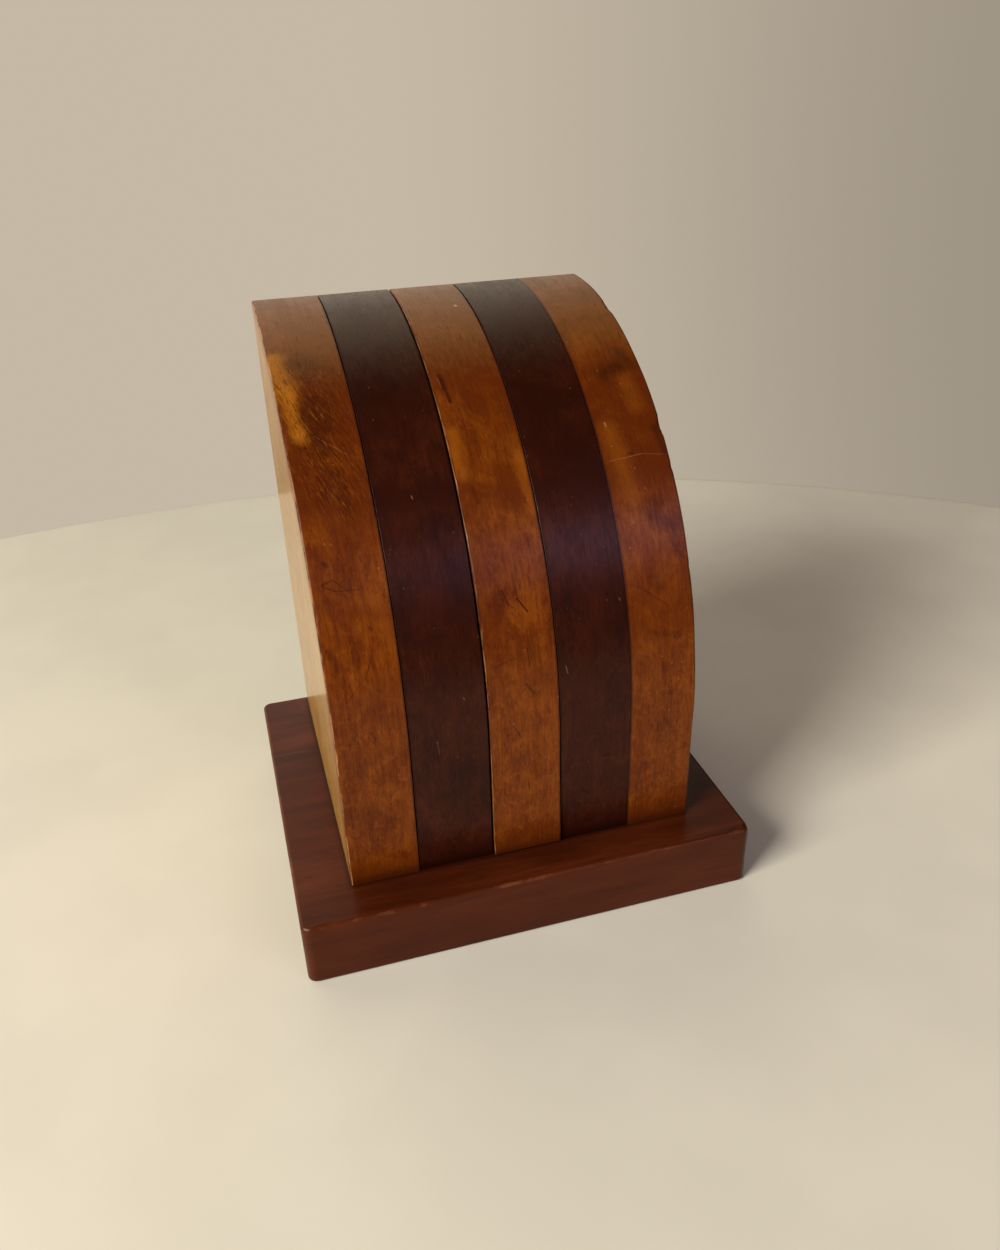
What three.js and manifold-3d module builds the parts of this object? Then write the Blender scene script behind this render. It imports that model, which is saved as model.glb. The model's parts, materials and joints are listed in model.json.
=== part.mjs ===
// A wooden secret box in the shape of a quarter-round bookend, in millimetres.
// X runs to the right, Y to the back and Z up. The origin is the middle of the plinth's underside.
// Five upright slices stand side by side on a plinth. Slices 2 and 3 swing backwards about one hidden
// axle and uncover a pocket in their sides. Slices 1, 4 and 5 are fixed.

import * as THREE from 'three';
import { mergeVertices } from 'three/addons/utils/BufferGeometryUtils.js';
import Module from 'manifold-3d';

const wasm = await Module();
wasm.setup();

// ---- Driving dimensions ----

const PLINTH_WIDTH = 127;
const PLINTH_DEPTH = 111;
const PLINTH_HEIGHT = 19;
const PLINTH_CORNER = 2.6;
const PLINTH_EASE = 1;

// Slice thicknesses from left to right, each measured to the middle of the joints beside it. The body
// stands a little to the right of the plinth's middle, flush with its back edge.
const SLICE_PITCHES = [18.7, 20.8, 19.4, 20.1, 18.6];
const FRONT_SETBACK = 12.5;
const BODY_SHIFT = 0.5;
const STRAIGHT_HEIGHT = 36;
const SLICE_EASE = 0.4;
const SLICE_3_FOOT_PROUD = 0.8;

const GLUE_GAP = 0.3;
const SWING_GAP = 0.5;
const PIECE_GAP = 0.3;

const AXLE_INSET = 13;
const AXLE_RADIUS = 4;
const AXLE_SOCKET_DEPTH = 12;
const BUSH_WALL = 1.6;
const RUNNING_GAP = 0.15;
const WASHER_RADIUS = 11;
const WASHER_THICKNESS = 1;
const HEEL_GAP = 0.25;

const SWING_DEGREES = 80;
const GROOVE_RADIUS = 21.5;
const GROOVE_WIDTH = 5;
const GROOVE_DEPTH = 5;
const STOP_PIN_ANGLE = 120;
const STOP_PIN_RADIUS = 2;
const STOP_PIN_SOCKET = 9;
const STOP_PIN_REACH = 4;
const STOP_CLEARANCE = 0.2;

const POCKET_INNER_RADIUS = 50;
const POCKET_OUTER_RADIUS = 83;
const POCKET_FROM_ANGLE = 106;
const POCKET_TO_ANGLE = 158;
const POCKET_CORNER = 6;
const POCKET_DEPTH = 13;

const DETENT_RADIUS = 31;
const DETENT_ANGLE = 105;
const DETENT_LENGTH = 32;
const DETENT_WIDTH = 7;
const DETENT_THICKNESS = 0.6;
const DETENT_BUMP_RADIUS = 2.5;
const DETENT_FREE_END = 3;
const DETENT_RECESS_DEPTH = 2.4;
const DETENT_NOTCH = { halfWidth: 2.3, halfHeight: 4, depth: 1 };
const DETENT_SCREW_RADIUS = 1;
const DETENT_SCREW_HEAD_RADIUS = 2;
const DETENT_SCREW_HEAD_HEIGHT = 0.9;
const DETENT_SCREW_LENGTH = 8;
const DETENT_SCREW_POINT = 1.6;
const DETENT_SCREW_DOME = { radius: 1.4, height: 0.7 };
const DETENT_SCREW_INSETS = { outer: 3.5, inner: 10.5 };

const WOOD_SCREW_LENGTH = 38;
const WOOD_SCREW_RADIUS = 2.1;
const WOOD_SCREW_HEAD_RADIUS = 4.2;
const WOOD_SCREW_RIM = 0.3;
const WOOD_SCREW_POINT = 6;
const WOOD_SCREW_SLOT = { width: 1.2, depth: 1.1 };
const WOOD_SCREW_SINK = 0.6;
const WOOD_SCREW_ROWS = { front: -24, back: 34 };

const DOWEL_RADIUS = 4;
const DOWEL_LENGTH = 18;
const DOWEL_CHAMFER = 0.8;
const DOWEL_PLACES = { lower: [-14, 58], upper: [24, 122] };

// ---- Places worked out from the driving dimensions ----

const BACK_Y = PLINTH_DEPTH / 2;
const FRONT_Y = FRONT_SETBACK - PLINTH_DEPTH / 2;
const ARC_RADIUS = BACK_Y - FRONT_Y;
const ARC_Z = PLINTH_HEIGHT + STRAIGHT_HEIGHT;
const AXLE_Y = BACK_Y - AXLE_INSET;
const AXLE_Z = ARC_Z;
const FIXED_BOTTOM = PLINTH_HEIGHT + PIECE_GAP;
const SWING_BOTTOM = PLINTH_HEIGHT + SWING_GAP;
const BUSH_RADIUS = AXLE_RADIUS + RUNNING_GAP + BUSH_WALL;
const WASHER_SEAT = WASHER_THICKNESS + 2 * PIECE_GAP - SWING_GAP;

// seams[0] is the outer face of slice 1, seams[5] the outer face of slice 5.
const bodyWidth = SLICE_PITCHES.reduce((sum, pitch) => sum + pitch, 0);
const seams = [BODY_SHIFT - bodyWidth / 2];
for (const pitch of SLICE_PITCHES) {
  seams.push(seams[seams.length - 1] + pitch);
}
const seamGaps = [0, SWING_GAP, SWING_GAP, SWING_GAP, GLUE_GAP, 0];

function sliceSpan(number) {
  return {
    left: seams[number - 1] + seamGaps[number - 1] / 2,
    right: seams[number] - seamGaps[number] / 2,
  };
}

// ---- Materials ----

function material(color, roughness, metalness = 0) {
  return new THREE.MeshStandardMaterial({ color, roughness, metalness });
}

const lightWood = material(0xa5601f, 0.35);
const darkWood = material(0x45190f, 0.32);
const plinthWood = material(0x5a2415, 0.35);
const dowelWood = material(0xc69a62, 0.7);
const brass = material(0xb08d4a, 0.35, 1);
const steel = material(0x8b8a86, 0.4, 1);

// ---- Tools ----

const group = new THREE.Group();
const radians = THREE.MathUtils.degToRad;
const SCREW_SIDES = 12;
const ROUND_SIDES = 24;
const ARC_STEPS = 36;
const CUTTER_ARC_STEPS = 9;
const CORNER_STEPS = 6;
const BUMP_STEPS = 10;
const HEEL_STEPS = 4;

// Turns a shape drawn in (y, z) and extruded along its own depth into one extruded along +X.
const SIDEWAYS = new THREE.Matrix4().makeBasis(
  new THREE.Vector3(0, 1, 0),
  new THREE.Vector3(0, 0, 1),
  new THREE.Vector3(1, 0, 0),
);

function addPiece(name, geometry, pieceMaterial) {
  const mesh = new THREE.Mesh(geometry, pieceMaterial);
  mesh.name = name;
  group.add(mesh);
}

function toSolid(geometry) {
  const bare = geometry.clone();
  bare.deleteAttribute('normal');
  bare.deleteAttribute('uv');
  const merged = mergeVertices(bare, 1e-4);
  return new wasm.Manifold(new wasm.Mesh({
    numProp: 3,
    vertProperties: merged.attributes.position.array,
    triVerts: Uint32Array.from(merged.index.array),
  }));
}

function toGeometry(solid) {
  const { vertProperties, triVerts } = solid.getMesh();
  const geometry = new THREE.BufferGeometry();
  geometry.setAttribute('position', new THREE.BufferAttribute(vertProperties, 3));
  geometry.setIndex(new THREE.BufferAttribute(triVerts, 1));
  geometry.computeVertexNormals();
  return geometry;
}

function cut(geometry, cutters) {
  let solid = toSolid(geometry);
  for (const cutter of cutters) {
    solid = solid.subtract(toSolid(cutter));
  }
  return toGeometry(solid);
}

// An outline drawn all the way round ends on its first point, which an extrusion must not hold twice.
function withoutLastPoint(outline) {
  return new THREE.Shape(outline.getPoints(CUTTER_ARC_STEPS).slice(0, -1));
}

// Extrudes an outline drawn in (y, z) between two places on X, with its long edges eased if asked.
function extrudeSideways(outline, fromX, toX, ease = 0) {
  const geometry = new THREE.ExtrudeGeometry(outline, {
    depth: toX - fromX - 2 * ease,
    curveSegments: ARC_STEPS,
    bevelEnabled: ease > 0,
    bevelThickness: ease,
    bevelSize: ease,
    bevelOffset: -ease,
    bevelSegments: 1,
  });
  geometry.translate(0, 0, ease);
  geometry.applyMatrix4(SIDEWAYS);
  geometry.translate(fromX, 0, 0);
  return geometry;
}

// A round bar or hole along X between two places, centred on (y, z).
function roundAlongX(radius, fromX, toX, y, z) {
  const geometry = new THREE.CylinderGeometry(radius, radius, toX - fromX, ROUND_SIDES);
  geometry.rotateZ(Math.PI / 2);
  geometry.translate((fromX + toX) / 2, y, z);
  return geometry;
}

function boxBetween(low, high) {
  const geometry = new THREE.BoxGeometry(high[0] - low[0], high[1] - low[1], high[2] - low[2]);
  geometry.translate((low[0] + high[0]) / 2, (low[1] + high[1]) / 2, (low[2] + high[2]) / 2);
  return geometry;
}

// A point in (y, z) at a distance and angle from a centre. The angle is 0 at the back, 90 at the top.
function polar(centreY, centreZ, radius, degrees) {
  return [
    centreY + radius * Math.cos(radians(degrees)),
    centreZ + radius * Math.sin(radians(degrees)),
  ];
}

// ---- Plinth and its screws ----

// A countersunk wood screw, point up, with its head face at height 0. With a gap it is the screw's hole.
function woodScrewGeometry(gap) {
  const shank = WOOD_SCREW_RADIUS + gap;
  const head = WOOD_SCREW_HEAD_RADIUS + gap;
  const section = [
    new THREE.Vector2(0, -gap),
    new THREE.Vector2(head, -gap),
    new THREE.Vector2(head, WOOD_SCREW_RIM),
    new THREE.Vector2(shank, WOOD_SCREW_RIM + head - shank),
    new THREE.Vector2(shank, WOOD_SCREW_LENGTH - WOOD_SCREW_POINT),
    new THREE.Vector2(0, WOOD_SCREW_LENGTH + 2 * gap),
  ];
  const geometry = new THREE.LatheGeometry(section, SCREW_SIDES);
  geometry.rotateX(Math.PI / 2);
  return geometry;
}

function screwX(sliceNumber) {
  const { left, right } = sliceSpan(sliceNumber);
  return (left + right) / 2;
}

// The hole for one wood screw, with a short straight mouth at the plinth's underside.
function woodScrewHole(x, y) {
  const head = WOOD_SCREW_HEAD_RADIUS + PIECE_GAP;
  const mouth = new THREE.CylinderGeometry(head, head, 2 * WOOD_SCREW_SINK, SCREW_SIDES);
  mouth.rotateX(Math.PI / 2);
  const shaft = woodScrewGeometry(PIECE_GAP);
  shaft.translate(0, 0, WOOD_SCREW_SINK);
  const hole = toGeometry(toSolid(mouth).add(toSolid(shaft)));
  hole.translate(x, y, 0);
  return hole;
}

function woodScrewHoles(sliceNumbers) {
  return sliceNumbers.flatMap((number) => (
    Object.values(WOOD_SCREW_ROWS).map((y) => woodScrewHole(screwX(number), y))
  ));
}

function makePlinth() {
  const halfWidth = PLINTH_WIDTH / 2;
  const halfDepth = PLINTH_DEPTH / 2;
  const corners = [[1, -1, -90], [1, 1, 0], [-1, 1, 90], [-1, -1, 180]];
  const outline = new THREE.Shape();
  for (const [sideX, sideY, from] of corners) {
    const centreX = sideX * (halfWidth - PLINTH_CORNER);
    const centreY = sideY * (halfDepth - PLINTH_CORNER);
    outline.absarc(centreX, centreY, PLINTH_CORNER, radians(from), radians(from + 90), false);
  }
  const board = new THREE.ExtrudeGeometry(outline, {
    depth: PLINTH_HEIGHT - 2 * PLINTH_EASE,
    curveSegments: CORNER_STEPS,
    bevelThickness: PLINTH_EASE,
    bevelSize: PLINTH_EASE,
    bevelOffset: -PLINTH_EASE,
    bevelSegments: 1,
  });
  board.translate(0, 0, PLINTH_EASE);
  addPiece('plinth', cut(board, woodScrewHoles([1, 4, 5])), plinthWood);
}

function makeWoodScrews() {
  const reach = WOOD_SCREW_HEAD_RADIUS + 1;
  const { width, depth } = WOOD_SCREW_SLOT;
  const slot = boxBetween([-reach, -width / 2, -1], [reach, width / 2, depth]);
  for (const number of [1, 4, 5]) {
    for (const [row, y] of Object.entries(WOOD_SCREW_ROWS)) {
      const screw = cut(woodScrewGeometry(0), [slot]);
      screw.translate(screwX(number), y, WOOD_SCREW_SINK);
      addPiece(`plinth_screw_${number}_${row}`, screw, steel);
    }
  }
}

// ---- Slices ----

// Outline of a fixed slice: straight front, quarter circle to the top, flat back.
function fixedOutline() {
  const outline = new THREE.Shape();
  outline.moveTo(FRONT_Y, FIXED_BOTTOM);
  outline.lineTo(FRONT_Y, ARC_Z);
  outline.absarc(BACK_Y, ARC_Z, ARC_RADIUS, Math.PI, Math.PI / 2, true);
  outline.lineTo(BACK_Y, FIXED_BOTTOM);
  return outline;
}

// A swinging slice has the same outline, but its heel is rounded about the axle to clear the plinth.
function swingOutline(footProud) {
  const heelRadius = AXLE_Z - SWING_BOTTOM + HEEL_GAP;
  const heelBack = -THREE.MathUtils.radToDeg(Math.acos(AXLE_INSET / heelRadius));
  const heelFront = -THREE.MathUtils.radToDeg(Math.asin((AXLE_Z - SWING_BOTTOM) / heelRadius));
  const outline = new THREE.Shape();
  outline.moveTo(FRONT_Y - footProud, SWING_BOTTOM);
  outline.lineTo(FRONT_Y, ARC_Z);
  outline.absarc(BACK_Y, ARC_Z, ARC_RADIUS, Math.PI, Math.PI / 2, true);
  for (let step = 0; step <= HEEL_STEPS; step += 1) {
    const angle = heelBack + (heelFront - heelBack) * step / HEEL_STEPS;
    outline.lineTo(...polar(AXLE_Y, AXLE_Z, heelRadius, angle));
  }
  return outline;
}

// The arc groove that the stop pin runs in: the pin's path through the turning slice, with round ends.
function grooveOutline() {
  const halfWidth = GROOVE_WIDTH / 2;
  const endInset = (halfWidth - STOP_PIN_RADIUS - STOP_CLEARANCE) / GROOVE_RADIUS;
  const from = radians(STOP_PIN_ANGLE) + endInset;
  const to = radians(STOP_PIN_ANGLE + SWING_DEGREES) - endInset;
  const startY = AXLE_Y + GROOVE_RADIUS * Math.cos(from);
  const startZ = AXLE_Z + GROOVE_RADIUS * Math.sin(from);
  const endY = AXLE_Y + GROOVE_RADIUS * Math.cos(to);
  const endZ = AXLE_Z + GROOVE_RADIUS * Math.sin(to);
  const outline = new THREE.Shape();
  outline.absarc(AXLE_Y, AXLE_Z, GROOVE_RADIUS + halfWidth, from, to, false);
  outline.absarc(endY, endZ, halfWidth, to, to + Math.PI, false);
  outline.absarc(AXLE_Y, AXLE_Z, GROOVE_RADIUS - halfWidth, to, from, true);
  outline.absarc(startY, startZ, halfWidth, from + Math.PI, from + 2 * Math.PI, false);
  return withoutLastPoint(outline);
}

// The pocket is a ring sector that follows the slice's arc, with rounded corners.
function pocketOutline() {
  const from = radians(POCKET_FROM_ANGLE);
  const to = radians(POCKET_TO_ANGLE);
  const outerRadius = POCKET_OUTER_RADIUS - POCKET_CORNER;
  const innerRadius = POCKET_INNER_RADIUS + POCKET_CORNER;
  const outerTurn = Math.asin(POCKET_CORNER / outerRadius);
  const innerTurn = Math.asin(POCKET_CORNER / innerRadius);
  const outline = new THREE.Shape();

  function corner(radius, angle, startAngle, endAngle) {
    const y = BACK_Y + radius * Math.cos(angle);
    const z = ARC_Z + radius * Math.sin(angle);
    outline.absarc(y, z, POCKET_CORNER, startAngle, endAngle, false);
  }

  outline.absarc(BACK_Y, ARC_Z, POCKET_OUTER_RADIUS, from + outerTurn, to - outerTurn, false);
  corner(outerRadius, to - outerTurn, to - outerTurn, to + Math.PI / 2);
  corner(innerRadius, to - innerTurn, to + Math.PI / 2, to - innerTurn + Math.PI);
  outline.absarc(BACK_Y, ARC_Z, POCKET_INNER_RADIUS, to - innerTurn, from + innerTurn, true);
  corner(innerRadius, from + innerTurn, from + innerTurn + Math.PI, from + 1.5 * Math.PI);
  corner(outerRadius, from + outerTurn, from - Math.PI / 2, from + outerTurn);
  return withoutLastPoint(outline);
}

// Extrudes a cutter into a face at faceX. side is +1 if the material lies on the right of that face.
function sunkInto(outline, faceX, side, depth) {
  const deepX = faceX + side * depth;
  const proudX = faceX - side;
  return extrudeSideways(outline, Math.min(deepX, proudX), Math.max(deepX, proudX));
}

function roundSunkInto(radius, faceX, side, depth, [y, z]) {
  const deepX = faceX + side * depth;
  const proudX = faceX - side;
  return roundAlongX(radius, Math.min(deepX, proudX), Math.max(deepX, proudX), y, z);
}

// What each swinging slice has: its number, the fixed slice beside it, and the side that it faces.
const swings = [
  { number: 2, fixed: 1, outward: -1, footProud: 0 },
  { number: 3, fixed: 4, outward: 1, footProud: SLICE_3_FOOT_PROUD },
];

function outwardFace({ number, outward }) {
  const { left, right } = sliceSpan(number);
  return outward < 0 ? left : right;
}

function fixedFace({ fixed, outward }) {
  const { left, right } = sliceSpan(fixed);
  return outward < 0 ? right : left;
}

function makeSwingSlice(swing) {
  const { number, outward, footProud } = swing;
  const { left, right } = sliceSpan(number);
  const face = outwardFace(swing);
  const cutters = [
    roundAlongX(BUSH_RADIUS + PIECE_GAP, left - 1, right + 1, AXLE_Y, AXLE_Z),
    roundSunkInto(WASHER_RADIUS + PIECE_GAP, face, -outward, WASHER_SEAT, [AXLE_Y, AXLE_Z]),
    sunkInto(grooveOutline(), face, -outward, GROOVE_DEPTH),
    sunkInto(pocketOutline(), face, -outward, POCKET_DEPTH),
    detentNotch(face, -outward),
  ];
  if (number === 3) {
    cutters.push(roundSunkInto(WASHER_RADIUS + PIECE_GAP, left, 1, WASHER_SEAT, [AXLE_Y, AXLE_Z]));
  }
  const board = extrudeSideways(swingOutline(footProud), left, right, SLICE_EASE);
  addPiece(`slice_${number}`, cut(board, cutters), number === 2 ? darkWood : lightWood);
}

// Cutters that every fixed slice beside a swinging one needs in its inner face.
function innerFaceCutters(swing) {
  const face = fixedFace(swing);
  const side = swing.outward;
  const stopPlace = polar(AXLE_Y, AXLE_Z, GROOVE_RADIUS, STOP_PIN_ANGLE);
  const recess = detentBox(PIECE_GAP);
  const screwHoles = Object.values(DETENT_SCREW_INSETS).map((inset) => {
    const place = [recess.endY + inset, recess.z];
    return roundSunkInto(DETENT_SCREW_RADIUS + PIECE_GAP, face, side, DETENT_SCREW_LENGTH + 2, place);
  });
  return [
    roundSunkInto(AXLE_RADIUS + PIECE_GAP, face, side, AXLE_SOCKET_DEPTH + PIECE_GAP, [AXLE_Y, AXLE_Z]),
    roundSunkInto(STOP_PIN_RADIUS + PIECE_GAP, face, side, STOP_PIN_SOCKET + PIECE_GAP, stopPlace),
    detentRecess(face, side),
    ...screwHoles,
  ];
}

function makeFixedSlices() {
  const [leftSwing, rightSwing] = swings;
  const dowelHoles = (face, side) => Object.values(DOWEL_PLACES).map((place) => (
    roundSunkInto(DOWEL_RADIUS + PIECE_GAP, face, side, DOWEL_LENGTH / 2 + PIECE_GAP, place)
  ));
  const cutters = {
    1: innerFaceCutters(leftSwing),
    4: [...innerFaceCutters(rightSwing), ...dowelHoles(sliceSpan(4).right, -1)],
    5: dowelHoles(sliceSpan(5).left, 1),
  };
  for (const number of [1, 4, 5]) {
    const { left, right } = sliceSpan(number);
    const board = extrudeSideways(fixedOutline(), left, right, SLICE_EASE);
    const pieceMaterial = number === 4 ? darkWood : lightWood;
    addPiece(`slice_${number}`, cut(board, [...cutters[number], ...woodScrewHoles([number])]), pieceMaterial);
  }
}

// ---- Axle, bushes, washers and stop pins ----

function makeAxle() {
  const from = sliceSpan(1).right - AXLE_SOCKET_DEPTH;
  const to = sliceSpan(4).left + AXLE_SOCKET_DEPTH;
  addPiece('axle', roundAlongX(AXLE_RADIUS, from, to, AXLE_Y, AXLE_Z), brass);
}

function makeRing(name, outerRadius, innerRadius, fromX, toX) {
  const ring = cut(
    roundAlongX(outerRadius, fromX, toX, AXLE_Y, AXLE_Z),
    [roundAlongX(innerRadius, fromX - 1, toX + 1, AXLE_Y, AXLE_Z)],
  );
  addPiece(name, ring, brass);
}

function makeBushes() {
  const bore = AXLE_RADIUS + RUNNING_GAP;
  const second = sliceSpan(2);
  const third = sliceSpan(3);
  makeRing('bush_2', BUSH_RADIUS, bore, second.left + WASHER_SEAT, second.right);
  makeRing('bush_3', BUSH_RADIUS, bore, third.left + WASHER_SEAT, third.right - WASHER_SEAT);
}

function makeWashers() {
  const bore = AXLE_RADIUS + RUNNING_GAP;
  const starts = {
    washer_1_2: sliceSpan(1).right + PIECE_GAP,
    washer_2_3: sliceSpan(2).right + PIECE_GAP,
    washer_3_4: sliceSpan(4).left - PIECE_GAP - WASHER_THICKNESS,
  };
  for (const [name, start] of Object.entries(starts)) {
    makeRing(name, WASHER_RADIUS, bore, start, start + WASHER_THICKNESS);
  }
}

function makeStopPins() {
  const [y, z] = polar(AXLE_Y, AXLE_Z, GROOVE_RADIUS, STOP_PIN_ANGLE);
  for (const swing of swings) {
    const face = fixedFace(swing);
    const ends = [face + swing.outward * STOP_PIN_SOCKET, face - swing.outward * STOP_PIN_REACH];
    const pin = roundAlongX(STOP_PIN_RADIUS, Math.min(...ends), Math.max(...ends), y, z);
    addPiece(`stop_pin_${swing.number}`, pin, brass);
  }
}

// ---- Detent springs: formed strips let into the fixed slices ----

function detentBox(gap) {
  const [bumpY, z] = polar(AXLE_Y, AXLE_Z, DETENT_RADIUS, DETENT_ANGLE);
  const freeEnd = bumpY + DETENT_BUMP_RADIUS + DETENT_FREE_END;
  return { bumpY, z, freeY: freeEnd + gap, endY: freeEnd - DETENT_LENGTH - gap };
}

// The shallow notch in the swinging slice that the spring's bump drops into.
function detentNotch(face, side) {
  const { bumpY, z } = detentBox(0);
  const xs = [face - side, face + side * DETENT_NOTCH.depth];
  return boxBetween(
    [Math.min(...xs), bumpY - DETENT_NOTCH.halfWidth, z - DETENT_NOTCH.halfHeight],
    [Math.max(...xs), bumpY + DETENT_NOTCH.halfWidth, z + DETENT_NOTCH.halfHeight],
  );
}

function detentRecess(face, side) {
  const { z, freeY, endY } = detentBox(PIECE_GAP);
  const halfWidth = DETENT_WIDTH / 2 + PIECE_GAP;
  const xs = [face - side, face + side * DETENT_RECESS_DEPTH];
  return boxBetween(
    [Math.min(...xs), endY, z - halfWidth],
    [Math.max(...xs), freeY, z + halfWidth],
  );
}

// Side view of the strip, drawn as (y, height above the strip's back), with one round bump near its free end.
function detentProfile() {
  const { bumpY, freeY, endY } = detentBox(0);
  const inner = DETENT_BUMP_RADIUS - DETENT_THICKNESS;
  const profile = new THREE.Shape();
  profile.moveTo(endY, 0);
  profile.lineTo(endY, DETENT_THICKNESS);
  profile.absarc(bumpY, DETENT_THICKNESS, DETENT_BUMP_RADIUS, Math.PI, 0, true);
  profile.lineTo(freeY, DETENT_THICKNESS);
  profile.lineTo(freeY, 0);
  profile.absarc(bumpY, 0, inner, 0, Math.PI, false);
  return profile;
}

function makeDetents() {
  const { z, endY } = detentBox(0);
  for (const swing of swings) {
    const backX = fixedFace(swing) + swing.outward * (DETENT_RECESS_DEPTH - PIECE_GAP);
    const strip = new THREE.ExtrudeGeometry(detentProfile(), {
      depth: DETENT_WIDTH,
      curveSegments: BUMP_STEPS,
      bevelEnabled: false,
    });
    const towardsSlice = -swing.outward;
    strip.applyMatrix4(new THREE.Matrix4().makeBasis(
      new THREE.Vector3(0, 1, 0),
      new THREE.Vector3(towardsSlice, 0, 0),
      new THREE.Vector3(0, 0, -towardsSlice),
    ));
    strip.translate(backX, 0, z + towardsSlice * DETENT_WIDTH / 2);
    const holes = Object.values(DETENT_SCREW_INSETS).map((inset) => roundAlongX(
      DETENT_SCREW_RADIUS + PIECE_GAP,
      backX - DETENT_RECESS_DEPTH,
      backX + DETENT_RECESS_DEPTH,
      endY + inset,
      z,
    ));
    addPiece(`detent_spring_${swing.number}`, cut(strip, holes), brass);
    makeDetentScrews(swing, backX, endY, z);
  }
}

// Small round-head screws, drawn with the head at height 0 and the point below it.
function makeDetentScrews(swing, stripBackX, endY, z) {
  const neck = -DETENT_THICKNESS - PIECE_GAP;
  const section = [
    new THREE.Vector2(0, -DETENT_SCREW_LENGTH),
    new THREE.Vector2(DETENT_SCREW_RADIUS, DETENT_SCREW_POINT - DETENT_SCREW_LENGTH),
    new THREE.Vector2(DETENT_SCREW_RADIUS, 0),
    new THREE.Vector2(DETENT_SCREW_HEAD_RADIUS, 0),
    new THREE.Vector2(DETENT_SCREW_DOME.radius, DETENT_SCREW_DOME.height),
    new THREE.Vector2(0, DETENT_SCREW_HEAD_HEIGHT),
  ];
  const headX = stripBackX + swing.outward * neck;
  for (const [row, inset] of Object.entries(DETENT_SCREW_INSETS)) {
    const screw = new THREE.LatheGeometry(section, SCREW_SIDES);
    screw.rotateZ(swing.outward * Math.PI / 2);
    screw.translate(headX, endY + inset, z);
    addPiece(`detent_screw_${swing.number}_${row}`, screw, brass);
  }
}

// ---- Dowels between slices 4 and 5 ----

function makeDowels() {
  const half = DOWEL_LENGTH / 2;
  const section = [
    new THREE.Vector2(0, -half),
    new THREE.Vector2(DOWEL_RADIUS - DOWEL_CHAMFER, -half),
    new THREE.Vector2(DOWEL_RADIUS, DOWEL_CHAMFER - half),
    new THREE.Vector2(DOWEL_RADIUS, half - DOWEL_CHAMFER),
    new THREE.Vector2(DOWEL_RADIUS - DOWEL_CHAMFER, half),
    new THREE.Vector2(0, half),
  ];
  for (const [name, [y, z]] of Object.entries(DOWEL_PLACES)) {
    const dowel = new THREE.LatheGeometry(section, SCREW_SIDES);
    dowel.rotateZ(Math.PI / 2);
    dowel.translate(seams[4], y, z);
    addPiece(`dowel_${name}`, dowel, dowelWood);
  }
}

makePlinth();
makeWoodScrews();
makeFixedSlices();
swings.forEach(makeSwingSlice);
makeAxle();
makeBushes();
makeWashers();
makeStopPins();
makeDetents();
makeDowels();

export default group;
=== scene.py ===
import json
import math

import bpy
import numpy as np
from mathutils import Euler, Matrix, Vector, noise


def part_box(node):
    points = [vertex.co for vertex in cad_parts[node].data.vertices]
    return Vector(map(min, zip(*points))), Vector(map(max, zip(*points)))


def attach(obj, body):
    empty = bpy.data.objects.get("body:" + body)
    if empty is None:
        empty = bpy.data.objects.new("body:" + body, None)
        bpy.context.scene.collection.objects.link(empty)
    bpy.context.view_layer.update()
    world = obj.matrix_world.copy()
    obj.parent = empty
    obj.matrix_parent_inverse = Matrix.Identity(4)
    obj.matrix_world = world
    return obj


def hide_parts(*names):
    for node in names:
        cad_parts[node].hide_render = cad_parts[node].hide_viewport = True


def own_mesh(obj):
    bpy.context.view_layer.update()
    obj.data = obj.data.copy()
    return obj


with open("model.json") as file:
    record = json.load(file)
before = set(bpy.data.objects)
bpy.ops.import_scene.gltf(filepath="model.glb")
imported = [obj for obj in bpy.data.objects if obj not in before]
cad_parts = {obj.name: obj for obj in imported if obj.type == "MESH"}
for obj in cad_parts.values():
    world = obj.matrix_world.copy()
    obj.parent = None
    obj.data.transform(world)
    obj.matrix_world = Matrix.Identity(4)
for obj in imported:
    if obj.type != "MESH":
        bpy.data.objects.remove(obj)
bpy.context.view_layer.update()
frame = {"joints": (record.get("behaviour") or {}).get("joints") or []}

# Looks of a laminated quarter-round secret box: five wooden slices on a plinth, two of which swing back.
# Everything is in metres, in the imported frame: X to the right, Y to the back, Z up.

MM = 0.001

# ---- Places read from the frame ----

plinth_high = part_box("plinth")[1]
body_low, body_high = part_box("slice_1")
FRONT_Y = body_low.y
BACK_Y = body_high.y
ARC_RADIUS = BACK_Y - FRONT_Y
ARC_Z = body_high.z - ARC_RADIUS
DECK_Z = plinth_high.z
SWING_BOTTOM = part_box("slice_2")[0].z
AXLE_Y, AXLE_Z = frame["joints"][0]["pos_m"][1:]
FOOT_PROUD = FRONT_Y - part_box("slice_3")[0].y
GLUED_SEAM_X = (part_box("slice_4")[1].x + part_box("slice_5")[0].x) / 2
SWING_SIDES = {2: -1, 3: 1}
FIXED_BESIDE = {2: 1, 3: 4}
SCREWED_SLICES = (1, 4, 5)
DARK_SLICES = (2, 4)
CHEEKS = {1: "left", 5: "right"}
# How much closer to its left and right neighbour a slice stands than its plain solid, in millimetres.
CLOSER = {1: (0, 0.1), 2: (0.1, 0), 3: (0, 0.1), 4: (0.1, 0), 5: (0, 0)}

# ---- Sizes that the frame's boxes don't give ----

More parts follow.
